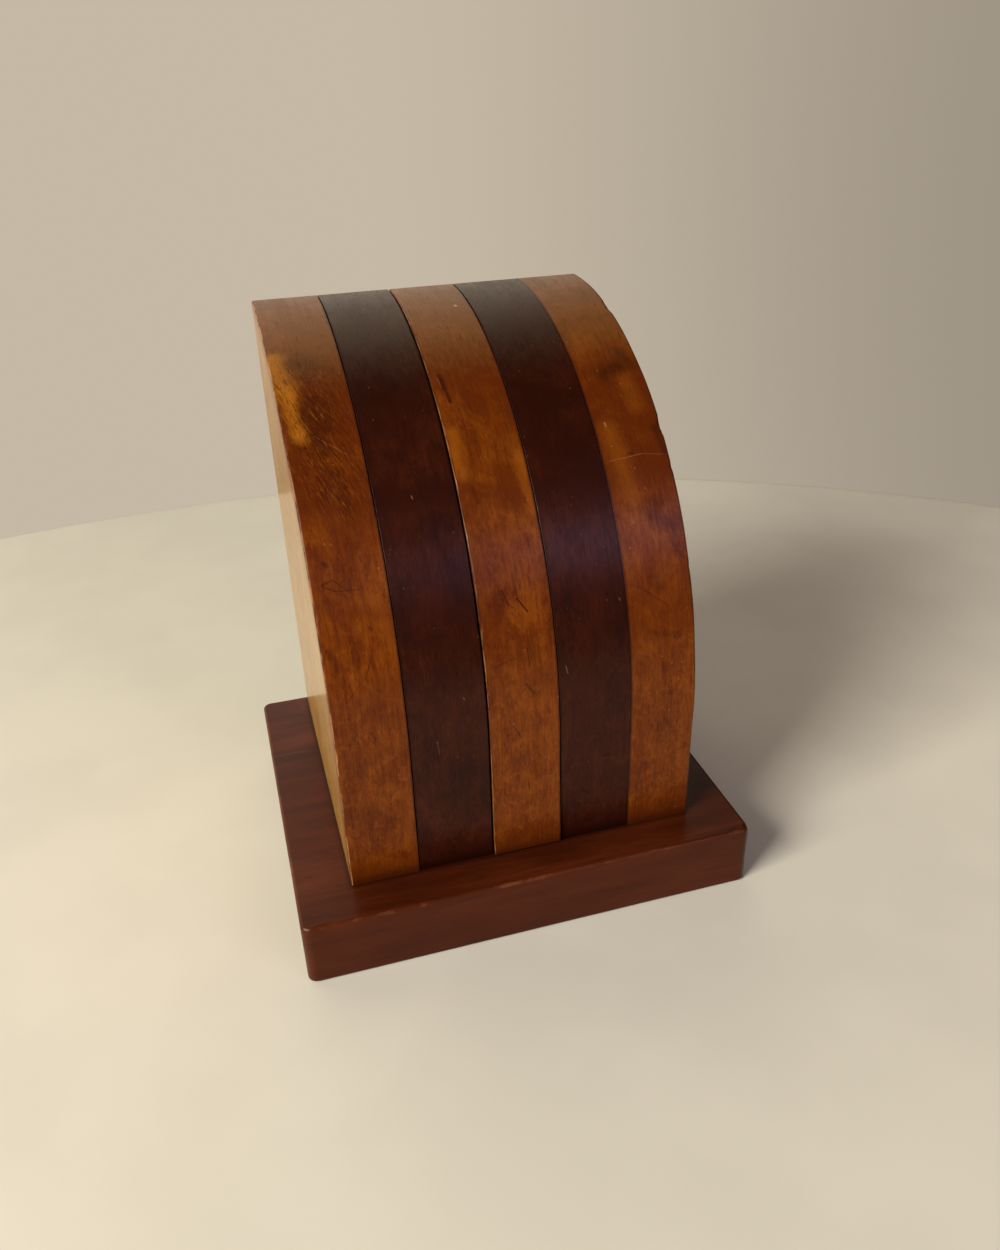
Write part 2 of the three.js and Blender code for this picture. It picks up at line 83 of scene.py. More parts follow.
GAP = 0.3 * MM
HEEL_GAP = 0.25 * MM
BACK_CORNER = 2.2 * MM
POCKET = {"inner": 50 * MM, "outer": 83 * MM, "from": 106, "to": 158, "corner": 6 * MM, "depth": 13 * MM}
GROOVE = {"radius": 21.5 * MM, "width": 5 * MM, "depth": 5 * MM, "from": 121, "to": 199}
DETENT_RECESS_DEPTH = 2.4 * MM
DETENT_BUMP_RADIUS = 2.5 * MM
DETENT_NOTCH = {"half_width": 2.3 * MM, "half_height": 4 * MM, "depth": 1 * MM}
WASHER_SEAT = {"radius": 11.3 * MM, "depth": 1.1 * MM}
BUSH_HOLE_RADIUS = 5.8 * MM
BORE_RADIUS = 4.15 * MM
FLOOR_RADIUS = 0.55
FLOOR_CENTRE = (-0.06, -0.25)


def polar(centre, radius, degrees):
    """A point at a distance and an angle from a centre, both in (y, z)."""
    angle = math.radians(degrees)
    return centre[0] + radius * math.cos(angle), centre[1] + radius * math.sin(angle)


# Where the detent's bump sits in its notch, as (y, z).
DETENT_PLACE = polar((AXLE_Y, AXLE_Z), 31 * MM, 105)


def middle_of(name):
    """The middle of a node's box, as (x, y, z)."""
    return [(low + high) / 2 for low, high in zip(*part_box(name))]


def slice_span(number):
    """Left and right face of a slice. The glued pair meets on its seam."""
    low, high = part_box(f"slice_{number}")
    left, right = low.x - CLOSER[number][0] * MM, high.x + CLOSER[number][1] * MM
    if number == 5:
        left = GLUED_SEAM_X
    if number == 4:
        right = GLUED_SEAM_X
    return left, right


SPANS = {number: slice_span(number) for number in range(1, 6)}


def front_y(height):
    """Depth of the rounded front at a height."""
    if height <= ARC_Z:
        return FRONT_Y
    return BACK_Y - math.sqrt(max(0, ARC_RADIUS**2 - (height - ARC_Z) ** 2))


def on_front(number, across, height_mm):
    """A point on a slice's rounded front: across runs from 0 at its left joint to 1 at its right."""
    left, right = SPANS[number]
    height = height_mm * MM
    return Vector((left + (right - left) * across, front_y(height), height))


# ---- Mesh tools ----


def make_object(name, verts, faces, material):
    mesh = bpy.data.meshes.new(name)
    mesh.from_pydata(verts, [], faces)
    mesh.update()
    obj = bpy.data.objects.new(name, mesh)
    bpy.context.scene.collection.objects.link(obj)
    mesh.materials.append(material)
    return obj


def apply_modifiers(obj):
    depsgraph = bpy.context.evaluated_depsgraph_get()
    mesh = bpy.data.meshes.new_from_object(obj.evaluated_get(depsgraph))
    obj.modifiers.clear()
    obj.data = mesh


def shade(obj):
    """Smooth shading with crisp edges, and flat faces kept flat."""
    mesh = obj.data
    mesh.shade_smooth()
    mesh.set_sharp_from_angle(angle=math.radians(32))
    weighted = obj.modifiers.new("flat_faces", "WEIGHTED_NORMAL")
    weighted.keep_sharp = True
    apply_modifiers(obj)


def carve(obj, cutters):
    """Cuts closed cutters out of an object, one after another, and deletes them."""
    for cutter in cutters:
        boolean = obj.modifiers.new("cut", "BOOLEAN")
        boolean.operation = "DIFFERENCE"
        boolean.solver = "EXACT"
        boolean.object = cutter
        boolean.material_mode = "TRANSFER"
        apply_modifiers(obj)
        bpy.data.objects.remove(cutter)


def loft(name, rings, material):
    """A closed body from rings of equal length, each a closed loop of points."""
    count = len(rings[0])
    verts = [point for ring in rings for point in ring]
    faces = []
    for row in range(len(rings) - 1):
        base = row * count
        for i in range(count):
            j = (i + 1) % count
            faces.append((base + i, base + j, base + count + j, base + count + i))
    last = (len(rings) - 1) * count
    faces.append(tuple(range(count - 1, -1, -1)))
    faces.append(tuple(range(last, last + count)))
    return make_object(name, verts, faces, material)


def turned(name, profile, axis, origin, material, sides=48):
    """A lathe-turned body. profile is (distance along the axis, radius) from one end to the other."""
    direction = Vector(axis).normalized()
    side = direction.orthogonal().normalized()
    up = direction.cross(side)
    rings = []
    for along, radius in profile:
        centre = Vector(origin) + direction * along
        ring = []
        for i in range(sides):
            angle = 2 * math.pi * i / sides
            ring.append(centre + (side * math.cos(angle) + up * math.sin(angle)) * radius)
        rings.append(ring)
    return loft(name, rings, material)


def cut_slot(screw, low, high, turns, place, material):
    """A screwdriver slot: a box turned by each rotation in order, moved to the head and cut out."""
    corners = [(low[0], low[1]), (high[0], low[1]), (high[0], high[1]), (low[0], high[1])]
    slot = loft("cutter", [[(x, y, z) for x, y in corners] for z in (low[2], high[2])], material)
    for turn in turns:
        slot.data.transform(Euler(turn).to_matrix().to_4x4())
    slot.data.transform(Matrix.Translation(place))
    carve(screw, [face_outwards(slot)])


def arc(centre, radius, start, end, step):
    """Points (y, z, normal y, normal z) on an arc, angles in radians. Normals point away from the centre."""
    count = max(2, math.ceil(abs(end - start) * radius / step))
    points = []
    for i in range(count + 1):
        angle = start + (end - start) * i / count
        ny, nz = math.cos(angle), math.sin(angle)
        points.append((centre[0] + radius * ny, centre[1] + radius * nz, ny, nz))
    return points


def straight(start, end, step):
    """Points along a line, with the normal on its left as it runs clockwise round the outline."""
    length = math.dist(start, end)
    count = max(2, math.ceil(length / step))
    ny, nz = -(end[1] - start[1]) / length, (end[0] - start[0]) / length
    return [
        (start[0] + (end[0] - start[0]) * i / count, start[1] + (end[1] - start[1]) * i / count, ny, nz)
        for i in range(count + 1)
    ]


# ---- Outlines of the slices ----


def back_corner(centre, radius, up):
    """Centre of the small round where an arc meets the flat back."""
    y = BACK_Y - BACK_CORNER
    rise = math.sqrt((radius - BACK_CORNER) ** 2 - (y - centre[0]) ** 2)
    return y, centre[1] + up * rise


def slice_path(number):
    """The slice's rim in (y, z), from the front foot over the top and down the back, as outline points."""
    moving = number in SWING_SIDES
    foot_z = SWING_BOTTOM if moving else DECK_Z
    foot_y = FRONT_Y - (FOOT_PROUD if number == 3 else 0)
    centre = (BACK_Y, ARC_Z)
    top = back_corner(centre, ARC_RADIUS, 1)
    top_angle = math.atan2(top[1] - ARC_Z, top[0] - BACK_Y)
    fine, coarse = 0.8 * MM, 2.5 * MM
    path = straight((foot_y, foot_z), (FRONT_Y, ARC_Z), fine)
    path += arc(centre, ARC_RADIUS, math.pi, top_angle, fine)
    path += arc(top, BACK_CORNER, top_angle, 0, 0.4 * MM)
    if not moving:
        path += straight((BACK_Y, top[1]), (BACK_Y, foot_z), coarse)
        return without_repeats(path)
    heel_radius = AXLE_Z - SWING_BOTTOM + HEEL_GAP
    heel = back_corner((AXLE_Y, AXLE_Z), heel_radius, -1)
    heel_angle = math.atan2(heel[1] - AXLE_Z, heel[0] - AXLE_Y)
    foot_angle = -math.asin((AXLE_Z - SWING_BOTTOM) / heel_radius)
    path += straight((BACK_Y, top[1]), (BACK_Y, heel[1]), coarse)
    path += arc(heel, BACK_CORNER, 0, heel_angle, 0.4 * MM)
    path += arc((AXLE_Y, AXLE_Z), heel_radius, heel_angle, foot_angle, coarse)
    return without_repeats(path)


def without_repeats(path):
    kept = [path[0]]
    for point in path[1:]:
        if math.dist(point[:2], kept[-1][:2]) > 0.02 * MM:
            kept.append(point)
    return kept


def wobble(distance, period, seed):
    """Smooth noise from 0 to 1 along a length."""
    return 0.5 + 0.5 * noise.noise(Vector((distance / period, seed * 7.31, 0.5)))


# How far each slice's left and right arris is worn: least radius, extra wear, and the length it varies over.
ARRISES = {
    1: ((0.5, 0.6, 22), (0.12, 0.12, 9)),
    2: ((0.12, 0.10, 9), (0.15, 0.25, 5)),
    3: ((0.15, 0.80, 5), (0.12, 0.15, 8)),
    4: ((0.12, 0.20, 8), (0.03, 0.0, 9)),
    5: ((0.03, 0.0, 9), (0.5, 0.7, 15)),
}

# Chips in the arrises: side, height up the front, half length and depth, in millimetres.
CHIPS = {
    1: (("left", 61, 1.6, 0.5), ("left", 96, 1.2, 0.4), ("left", 131, 2.2, 0.5)),
    2: (("right", 88, 1.0, 0.3), ("right", 47, 0.8, 0.25)),
    3: (("left", 88, 1.5, 0.5), ("left", 71, 1.0, 0.6), ("left", 38, 1.4, 0.5), ("left", 27, 0.9, 0.4)),
    4: (("left", 112, 0.9, 0.3),),
    5: (
        ("right", 125.7, 2.2, 1.0),
        ("right", 149, 1.2, 0.7),
        ("right", 117, 0.8, 0.5),
        ("right", 94, 1.0, 0.4),
    ),
}

# Dents in the fronts: across the slice, height, radius and depth, in millimetres but for the first.
DENTS = {
    1: ((0.45, 128, 2.6, 0.10), (0.7, 119, 2.0, 0.08), (0.33, 79, 1.8, 0.12), (0.6, 52, 2.4, 0.06)),
    2: ((0.6, 122, 2.2, 0.06), (0.35, 70, 1.6, 0.06)),
    3: ((0.17, 137.5, 1.3, 0.22), (0.4, 92, 0.9, 0.10), (0.6, 91, 0.8, 0.10), (0.7, 78, 1.8, 0.06)),
    4: ((0.4, 101, 1.8, 0.06), (0.7, 60, 2.0, 0.05)),
    5: ((0.75, 128, 1.6, 0.10), (0.3, 133, 2.4, 0.08), (0.35, 88, 2.0, 0.08)),
}


def wear_of(number, side):
    """The arris radius as a function of the distance along the rim and the height there."""
    least, extra, period = ARRISES[number][0 if side == "left" else 1]
    chips = [chip for chip in CHIPS[number] if chip[0] == side]
    seed = number * 2 + (side == "left")

    def radius(distance, height, on_front_side):
        worn = least + extra * wobble(distance, period * MM, seed) ** 2
        for _, chip_height, half, depth in chips:
            off = abs(height / MM - chip_height) / half
            if on_front_side and off < 1:
                worn += depth * (1 - off**2) * (0.6 + 0.8 * wobble(distance, 0.7 * MM, seed + 40))
        return worn * MM

    return radius


def face_wear(number, x, distance, height, on_front_side):
    """How far the rim is rubbed in at a place: slow unevenness from hand sanding, and the dents."""
    left, right = SPANS[number]
    place = Vector((x / (14 * MM), distance / (26 * MM), number * 3.7))
    depth = 0.045 * (1 + noise.noise(place))
    if on_front_side:
        for across, dent_height, radius, dent_depth in DENTS[number]:
            dx = (x - left - across * (right - left)) / MM
            off = math.hypot(dx, height / MM - dent_height) / radius
            if off < 2.5:
                depth += dent_depth * math.exp(-(off**2) * 2)
    return depth * MM


def slice_body(number, material, foot_material):
    """The solid slice: its rim as a fine grid, and flat sides and foot."""
    left, right = SPANS[number]
    path = slice_path(number)
    turns = 5
    spans = 14
    left_wear = wear_of(number, "left")
    right_wear = wear_of(number, "right")
    verts = []
    distance = 0
    previous = path[0]
    for point in path:
        y, z, ny, nz = point
        distance += math.dist(point[:2], previous[:2])
        previous = point
        on_front_side = y < BACK_Y - BACK_CORNER and ny < 0.02
        a = left_wear(distance, z, on_front_side)
        b = right_wear(distance, z, on_front_side)
        section = []
        for i in range(turns + 1):
            angle = math.pi / 2 * i / turns
            section.append((left + a * (1 - math.cos(angle)), a * (1 - math.sin(angle)), i / turns))
        for i in range(1, spans):
            section.append((left + a + (right - b - left - a) * i / spans, 0, 1))
        for i in range(turns + 1):
            angle = math.pi / 2 * (1 - i / turns)
            section.append((right - b * (1 - math.cos(angle)), b * (1 - math.sin(angle)), 1 - i / turns))
        for x, inset, share in section:
            inset += share * face_wear(number, x, distance, z, on_front_side)
            verts.append((x, y - ny * inset, z - nz * inset))
    width = 2 * (turns + 1) + spans - 1
    rows = len(path)
    faces = []
    for row in range(rows - 1):
        for i in range(width - 1):
            a = row * width + i
            faces.append((a, a + 1, a + width + 1, a + width))
    faces.append(tuple(row * width for row in range(rows)))
    faces.append(tuple(row * width + width - 1 for row in range(rows - 1, -1, -1)))
    last = (rows - 1) * width
    faces.append(tuple(range(width - 1, -1, -1)) + tuple(range(last, last + width)))
    # Both feet end at one height, so that the underside is flat.
    for i in range(width):
        for base in (0, last):
            x, y, _ = verts[base + i]
            verts[base + i] = (x, y, path[0][1])
    slice_object = make_object(f"slice_{number}_wood", verts, faces, material)
    slice_object.data.materials.append(foot_material)
    slice_object.data.polygons[len(faces) - 1].material_index = 1
    if number in CHEEKS:
        slice_object.data.materials.append(cheek_material(number))
        side_face = len(faces) - 3 if CHEEKS[number] == "left" else len(faces) - 2
        slice_object.data.polygons[side_face].material_index = 2
    return slice_object


# ---- Cutters ----


def to_3d(points, x):
    return [(x, y, z) for y, z in points]


def sideways_cutter(outline_at, face_x, side, depth, material, mouth=0.35 * MM, fillet=0.8 * MM):
    """A cutter sunk into a side face. outline_at(offset) is the closed outline grown by an offset.
    side is +1 if the wood lies on the right of the face."""
    steps = [
        (-1.0 * MM, mouth + 0.4 * MM),
        (-0.05 * MM, mouth + 0.05 * MM),
        (mouth * 0.3, mouth * 0.35),
        (mouth, 0),
        (depth - fillet, 0),
        (depth - fillet * 0.3, -fillet * 0.3),
        (depth, -fillet),
    ]
    rings = [to_3d(outline_at(offset), face_x + side * along) for along, offset in steps]
    if side < 0:
        rings = [list(reversed(ring)) for ring in rings]
    cutter = loft("cutter", rings, material)
    return face_outwards(cutter)


def face_outwards(obj):
    """Makes a closed mesh's faces point out, by the sign of its volume."""
    mesh = obj.data
    volume = 0.0
    for polygon in mesh.polygons:
        corners = [mesh.vertices[i].co for i in polygon.vertices]
        for i in range(1, len(corners) - 1):
            volume += corners[0].dot(corners[i].cross(corners[i + 1]))
    if volume < 0:
        mesh.flip_normals()
    return obj


def pocket_outline(offset):
    """The pocket's ring sector with rounded corners, grown by an offset."""
    start, end = math.radians(POCKET["from"]), math.radians(POCKET["to"])
    corner = POCKET["corner"]
    outer, inner = POCKET["outer"] - corner, POCKET["inner"] + corner
    outer_turn, inner_turn = math.asin(corner / outer), math.asin(corner / inner)
    centre = (BACK_Y, ARC_Z)
    round_radius = corner + offset

    def corner_arc(radius, angle, begin, finish):
        place = (BACK_Y + radius * math.cos(angle), ARC_Z + radius * math.sin(angle))
        return arc(place, round_radius, begin, finish, 1.2 * MM)

    points = arc(centre, POCKET["outer"] + offset, start + outer_turn, end - outer_turn, 2 * MM)
    points += corner_arc(outer, end - outer_turn, end - outer_turn, end + math.pi / 2)
    points += corner_arc(inner, end - inner_turn, end + math.pi / 2, end - inner_turn + math.pi)
    points += arc(centre, POCKET["inner"] - offset, end - inner_turn, start + inner_turn, 2 * MM)
    points += corner_arc(inner, start + inner_turn, start + inner_turn + math.pi, start + 1.5 * math.pi)
    points += corner_arc(outer, start + outer_turn, start - math.pi / 2, start + outer_turn)
    return same_count([(p[0], p[1]) for p in points], 120)


def groove_outline(offset):
    """The stop pin's arc groove with round ends, grown by an offset."""
    start, end = math.radians(GROOVE["from"]), math.radians(GROOVE["to"])
    half = GROOVE["width"] / 2 + offset
    radius = GROOVE["radius"]
    centre = (AXLE_Y, AXLE_Z)

    def end_centre(angle):
        return AXLE_Y + radius * math.cos(angle), AXLE_Z + radius * math.sin(angle)

    points = arc(centre, radius + half, start, end, 1.2 * MM)
    points += arc(end_centre(end), half, end, end + math.pi, 0.6 * MM)
    points += arc(centre, radius - half, end, start, 1.2 * MM)
    points += arc(end_centre(start), half, start + math.pi, start + 2 * math.pi, 0.6 * MM)
    return same_count([(p[0], p[1]) for p in points], 96)


def same_count(points, count):
    """A closed outline walked again in a fixed number of even steps, so that grown copies match."""
    loop = np.array(points + points[:1])
    lengths = np.hypot(*np.diff(loop, axis=0).T)
    along = np.concatenate([[0], np.cumsum(lengths)])
    wanted = np.linspace(0, along[-1], count, endpoint=False)
    ys = np.interp(wanted, along, loop[:, 0])
    zs = np.interp(wanted, along, loop[:, 1])
    return list(zip(ys.tolist(), zs.tolist()))


def rounded_box_outline(y_range, z_range, corner):
    """An outline function for a rectangle in (y, z) with rounded corners."""

    def outline(offset):
        radius = max(0.05 * MM, corner + offset)
        low_y, high_y = y_range[0] + corner, y_range[1] - corner
        low_z, high_z = z_range[0] + corner, z_range[1] - corner
        centres = ((high_y, high_z, 0), (low_y, high_z, 90), (low_y, low_z, 180), (high_y, low_z, 270))
        points = []
        for y, z, begin in centres:
            turn = math.radians(begin)
            points += arc((y, z), radius, turn, turn + math.pi / 2, 0.4 * MM)
        return same_count([(p[0], p[1]) for p in points], 64)

    return outline


def round_cutter(place, radius, face_x, side, depth, material):
    """A drilled hole in a side face, with a slightly broken edge and a cone at its end."""
    chamfer = 0.25 * MM
    profile = [
        (-1 * MM, radius + chamfer),
        (0, radius + chamfer),
        (chamfer, radius),
        (depth, radius),
        (depth + radius * 0.5, radius * 0.05),
    ]
    cutter = turned("cutter", profile, (side, 0, 0), (face_x, place[0], place[1]), material, 40)
    return face_outwards(cutter)


def through_cutter(number, material):
    """The bush's hole right through a swinging slice, with a washer seat at its left mouth, and at slice 3's
    right mouth too."""
    left, right = SPANS[number]
    width = right - left
    seat = WASHER_SEAT["depth"]
    wide = WASHER_SEAT["radius"]
    narrow = BUSH_HOLE_RADIUS
    profile = [(-1 * MM, wide), (seat, wide), (seat, narrow)]
    if number == 3:
        profile += [(width - seat, narrow), (width - seat, wide), (width + 1 * MM, wide)]
    else:
        profile.append((width + 1 * MM, narrow))
    cutter = turned("cutter", profile, (1, 0, 0), (left, AXLE_Y, AXLE_Z), material, 64)
    return face_outwards(cutter)


def upward_hole(x, y, profile, material):
    """A hole from below, as (height, radius) pairs."""
    return face_outwards(turned("cutter", profile, (0, 0, 1), (x, y, 0), material, 40))


# ---- Materials ----


class Shader:
    """A node material. Each method adds one node and returns its output socket."""

    def __init__(self, name):
        self.material = bpy.data.materials.new(name)
        self.material.use_nodes = True
        self.nodes = self.material.node_tree.nodes
        self.links = self.material.node_tree.links
        self.nodes.clear()
        self.bsdf = self.nodes.new("ShaderNodeBsdfPrincipled")
        output = self.nodes.new("ShaderNodeOutputMaterial")
        self.links.new(self.bsdf.outputs["BSDF"], output.inputs["Surface"])
        coordinates = self.nodes.new("ShaderNodeTexCoord")
        self.place = coordinates.outputs["Object"]
        self.facing = coordinates.outputs["Normal"]
        self.laid = self.place

    def feed(self, socket, value):
        if isinstance(value, bpy.types.NodeSocket):
            self.links.new(value, socket)
        else:
            socket.default_value = value

    def set(self, **values):
        """Sets or links sockets of the surface shader, such as Base_Color."""
        for name, value in values.items():
            self.feed(self.bsdf.inputs[name.replace("_", " ")], value)

    def math(self, operation, a, b=0.0, clamp=False):
        node = self.nodes.new("ShaderNodeMath")
        node.operation = operation
        node.use_clamp = clamp
        self.feed(node.inputs[0], a)
        self.feed(node.inputs[1], b)
        return node.outputs[0]

    def vector(self, operation, a, b=None, scale=None):
        node = self.nodes.new("ShaderNodeVectorMath")
        node.operation = operation
        self.feed(node.inputs[0], a)
        if b is not None:
            self.feed(node.inputs[1], b)
        if scale is not None:
            self.feed(node.inputs["Scale"], scale)
        return node.outputs["Value"] if operation in ("LENGTH", "DOT_PRODUCT") else node.outputs["Vector"]

    def axis(self, vector, letter):
        node = self.nodes.new("ShaderNodeSeparateXYZ")
        self.feed(node.inputs[0], vector)
        return node.outputs[letter]

    def stretched(self, scale, offset=(0, 0, 0)):
        """The pattern's coordinates, moved and then scaled on each axis, in cycles per metre."""
        moved = self.vector("ADD", self.laid, offset)
        return self.vector("MULTIPLY", moved, scale)

    def from_arc_centre(self):
        """How far a place is ahead of the arc's centre line, how far over it, and the distance from it."""
        ahead = self.math("SUBTRACT", BACK_Y, self.axis(self.place, "Y"))
        over = self.math("MAXIMUM", self.math("SUBTRACT", self.axis(self.place, "Z"), ARC_Z), 0.0)
        squares = self.math("ADD", self.math("POWER", ahead, 2.0), self.math("POWER", over, 2.0))
        return ahead, over, self.math("SQRT", squares)

    def along_front(self):
        """Coordinates for grain that runs up the front and over the curve: X, distance from the back, and
        distance up the front. Side faces keep the plain coordinates."""
        x, z = self.axis(self.place, "X"), self.axis(self.place, "Z")
        ahead, over, away = self.from_arc_centre()
        turn = self.math("ARCTAN2", over, ahead)
        up = self.math("ADD", self.math("MULTIPLY", turn, ARC_RADIUS), self.math("MINIMUM", z, ARC_Z))
        combined = self.nodes.new("ShaderNodeCombineXYZ")
        for socket, part in zip(combined.inputs, (x, away, up)):
            self.feed(socket, part)
        sideways = self.remap(self.math("ABSOLUTE", self.axis(self.facing, "X")), 0.90, 0.98)
        return self.mix(sideways, combined.outputs[0], self.place)

    def noise(self, vector, detail=3.0, roughness=0.5, distortion=0.0):
        node = self.nodes.new("ShaderNodeTexNoise")
        self.feed(node.inputs["Vector"], vector)
        node.inputs["Scale"].default_value = 1.0
        node.inputs["Detail"].default_value = detail
        node.inputs["Roughness"].default_value = roughness
        node.inputs["Distortion"].default_value = distortion
        return node.outputs[0]

    def cells(self, vector):
        node = self.nodes.new("ShaderNodeTexVoronoi")
        self.feed(node.inputs["Vector"], vector)
        node.inputs["Scale"].default_value = 1.0
        return node.outputs["Distance"]

    def rings(self, centre, wave_length, distortion):
        """Circles about an axis along X, as rubbed in by a turning neighbour."""
        node = self.nodes.new("ShaderNodeTexWave")
        node.wave_type = "RINGS"
        node.rings_direction = "X"
        self.feed(node.inputs["Vector"], self.vector("SUBTRACT", self.place, centre))
        node.inputs["Scale"].default_value = 0.05 / wave_length
        node.inputs["Distortion"].default_value = distortion
        node.inputs["Detail"].default_value = 4.0
        node.inputs["Detail Scale"].default_value = 8.0
        return node.outputs["Fac"]

    def remap(self, value, low, high, to_low=0.0, to_high=1.0):
        """Smooth change from to_low to to_high as the value goes from low to high."""
        node = self.nodes.new("ShaderNodeMapRange")
        node.interpolation_type = "SMOOTHSTEP"
        self.feed(node.inputs["Value"], value)
        self.feed(node.inputs["From Min"], low)
        self.feed(node.inputs["From Max"], high)
        self.feed(node.inputs["To Min"], to_low)
        self.feed(node.inputs["To Max"], to_high)
        return node.outputs["Result"]

    def mix(self, factor, a, b):
        node = self.nodes.new("ShaderNodeMix")
        node.data_type = "RGBA"
        colours = [socket for socket in node.inputs if socket.type == "RGBA"]
        self.feed(node.inputs["Factor"], factor)
        self.feed(colours[0], a if isinstance(a, bpy.types.NodeSocket) else (*a, 1))
        self.feed(colours[1], b if isinstance(b, bpy.types.NodeSocket) else (*b, 1))
        return [socket for socket in node.outputs if socket.type == "RGBA"][0]

    def ramp(self, value, stops):
        node = self.nodes.new("ShaderNodeValToRGB")
        elements = node.color_ramp.elements
        while len(elements) < len(stops):
            elements.new(0.5)
        for element, (position, colour) in zip(elements, stops):
            element.position = position
            element.color = (*colour, 1)
        self.feed(node.inputs["Fac"], value)
        return node.outputs["Color"]

    def near_line(self, place, start, end, radius, softness):
        """1 on a line between two points, falling to 0 past its radius."""
        along = end - start
        away = self.vector("SUBTRACT", place, start)
        if along.length > 1e-6:
            share = self.vector("DOT_PRODUCT", away, along / along.length_squared)
            share = self.math("ADD", share, 0.0, clamp=True)
            away = self.vector("SUBTRACT", away, self.vector("SCALE", along, scale=share))
        distance = self.vector("LENGTH", away)
        return self.remap(distance, radius * (1 - softness), radius * (1 + softness), 1.0, 0.0)

    def bump(self, height, distance, normal=None, strength=1.0):
        node = self.nodes.new("ShaderNodeBump")
        node.inputs["Strength"].default_value = strength
        node.inputs["Distance"].default_value = distance
        self.feed(node.inputs["Height"], height)
        if normal is not None:
            self.feed(node.inputs["Normal"], normal)
        return node.outputs["Normal"]


# Colours are linear. Each wood runs from its darkest stain to its palest wear.
AMBER = {
    "dark": (0.038, 0.0068, 0.0008),
    "deep": (0.098, 0.0165, 0.0011),
    "mid": (0.184, 0.0405, 0.0019),
    "bright": (0.300, 0.0810, 0.0046),
    "gold": (0.500, 0.1750, 0.0100),
    "worn": (0.60, 0.31, 0.11),
    # Pale grey of dust and of a painted sheen on the top.
    "dust_and_sheen": (0.215, 0.105, 0.026),
}
ROSEWOOD = {
    "dark": (0.0085, 0.0016, 0.0006),
    "deep": (0.0210, 0.0036, 0.0012),
    "mid": (0.0410, 0.0070, 0.0020),
    "bright": (0.0760, 0.0150, 0.0044),
    "worn": (0.21, 0.10, 0.05),
    # Pale grey of dust and of a painted sheen on the top.
    "dust_and_sheen": (0.060, 0.038, 0.022),
}
# Paler copy of the slices' wood for the flat outer cheeks: a painted reflection of the pale room.
CHEEK = {
    "dark": (0.150, 0.056, 0.008),
    "deep": (0.260, 0.118, 0.020),
    "mid": (0.370, 0.195, 0.040),
    "bright": (0.470, 0.270, 0.065),
    "worn": (0.60, 0.38, 0.14),
}
MAHOGANY = {
    "dark": (0.022, 0.0036, 0.0010),
    "deep": (0.044, 0.0076, 0.0019),
    "mid": (0.066, 0.0120, 0.0028),
    "bright": (0.092, 0.0190, 0.0046),
    "worn": (0.19, 0.062, 0.020),
}

# Where the polish is scraped, by slice: two points as for the marks below, radius in millimetres, strength.
SCRAPED = {
    1: (((0.36, 141), (0.55, 122)), 8.0, 0.9),
    3: (((0.40, 134), (0.60, 108)), 6.5, 0.22),
    5: (((0.55, 133), (0.45, 104)), 6.5, 0.25),
}

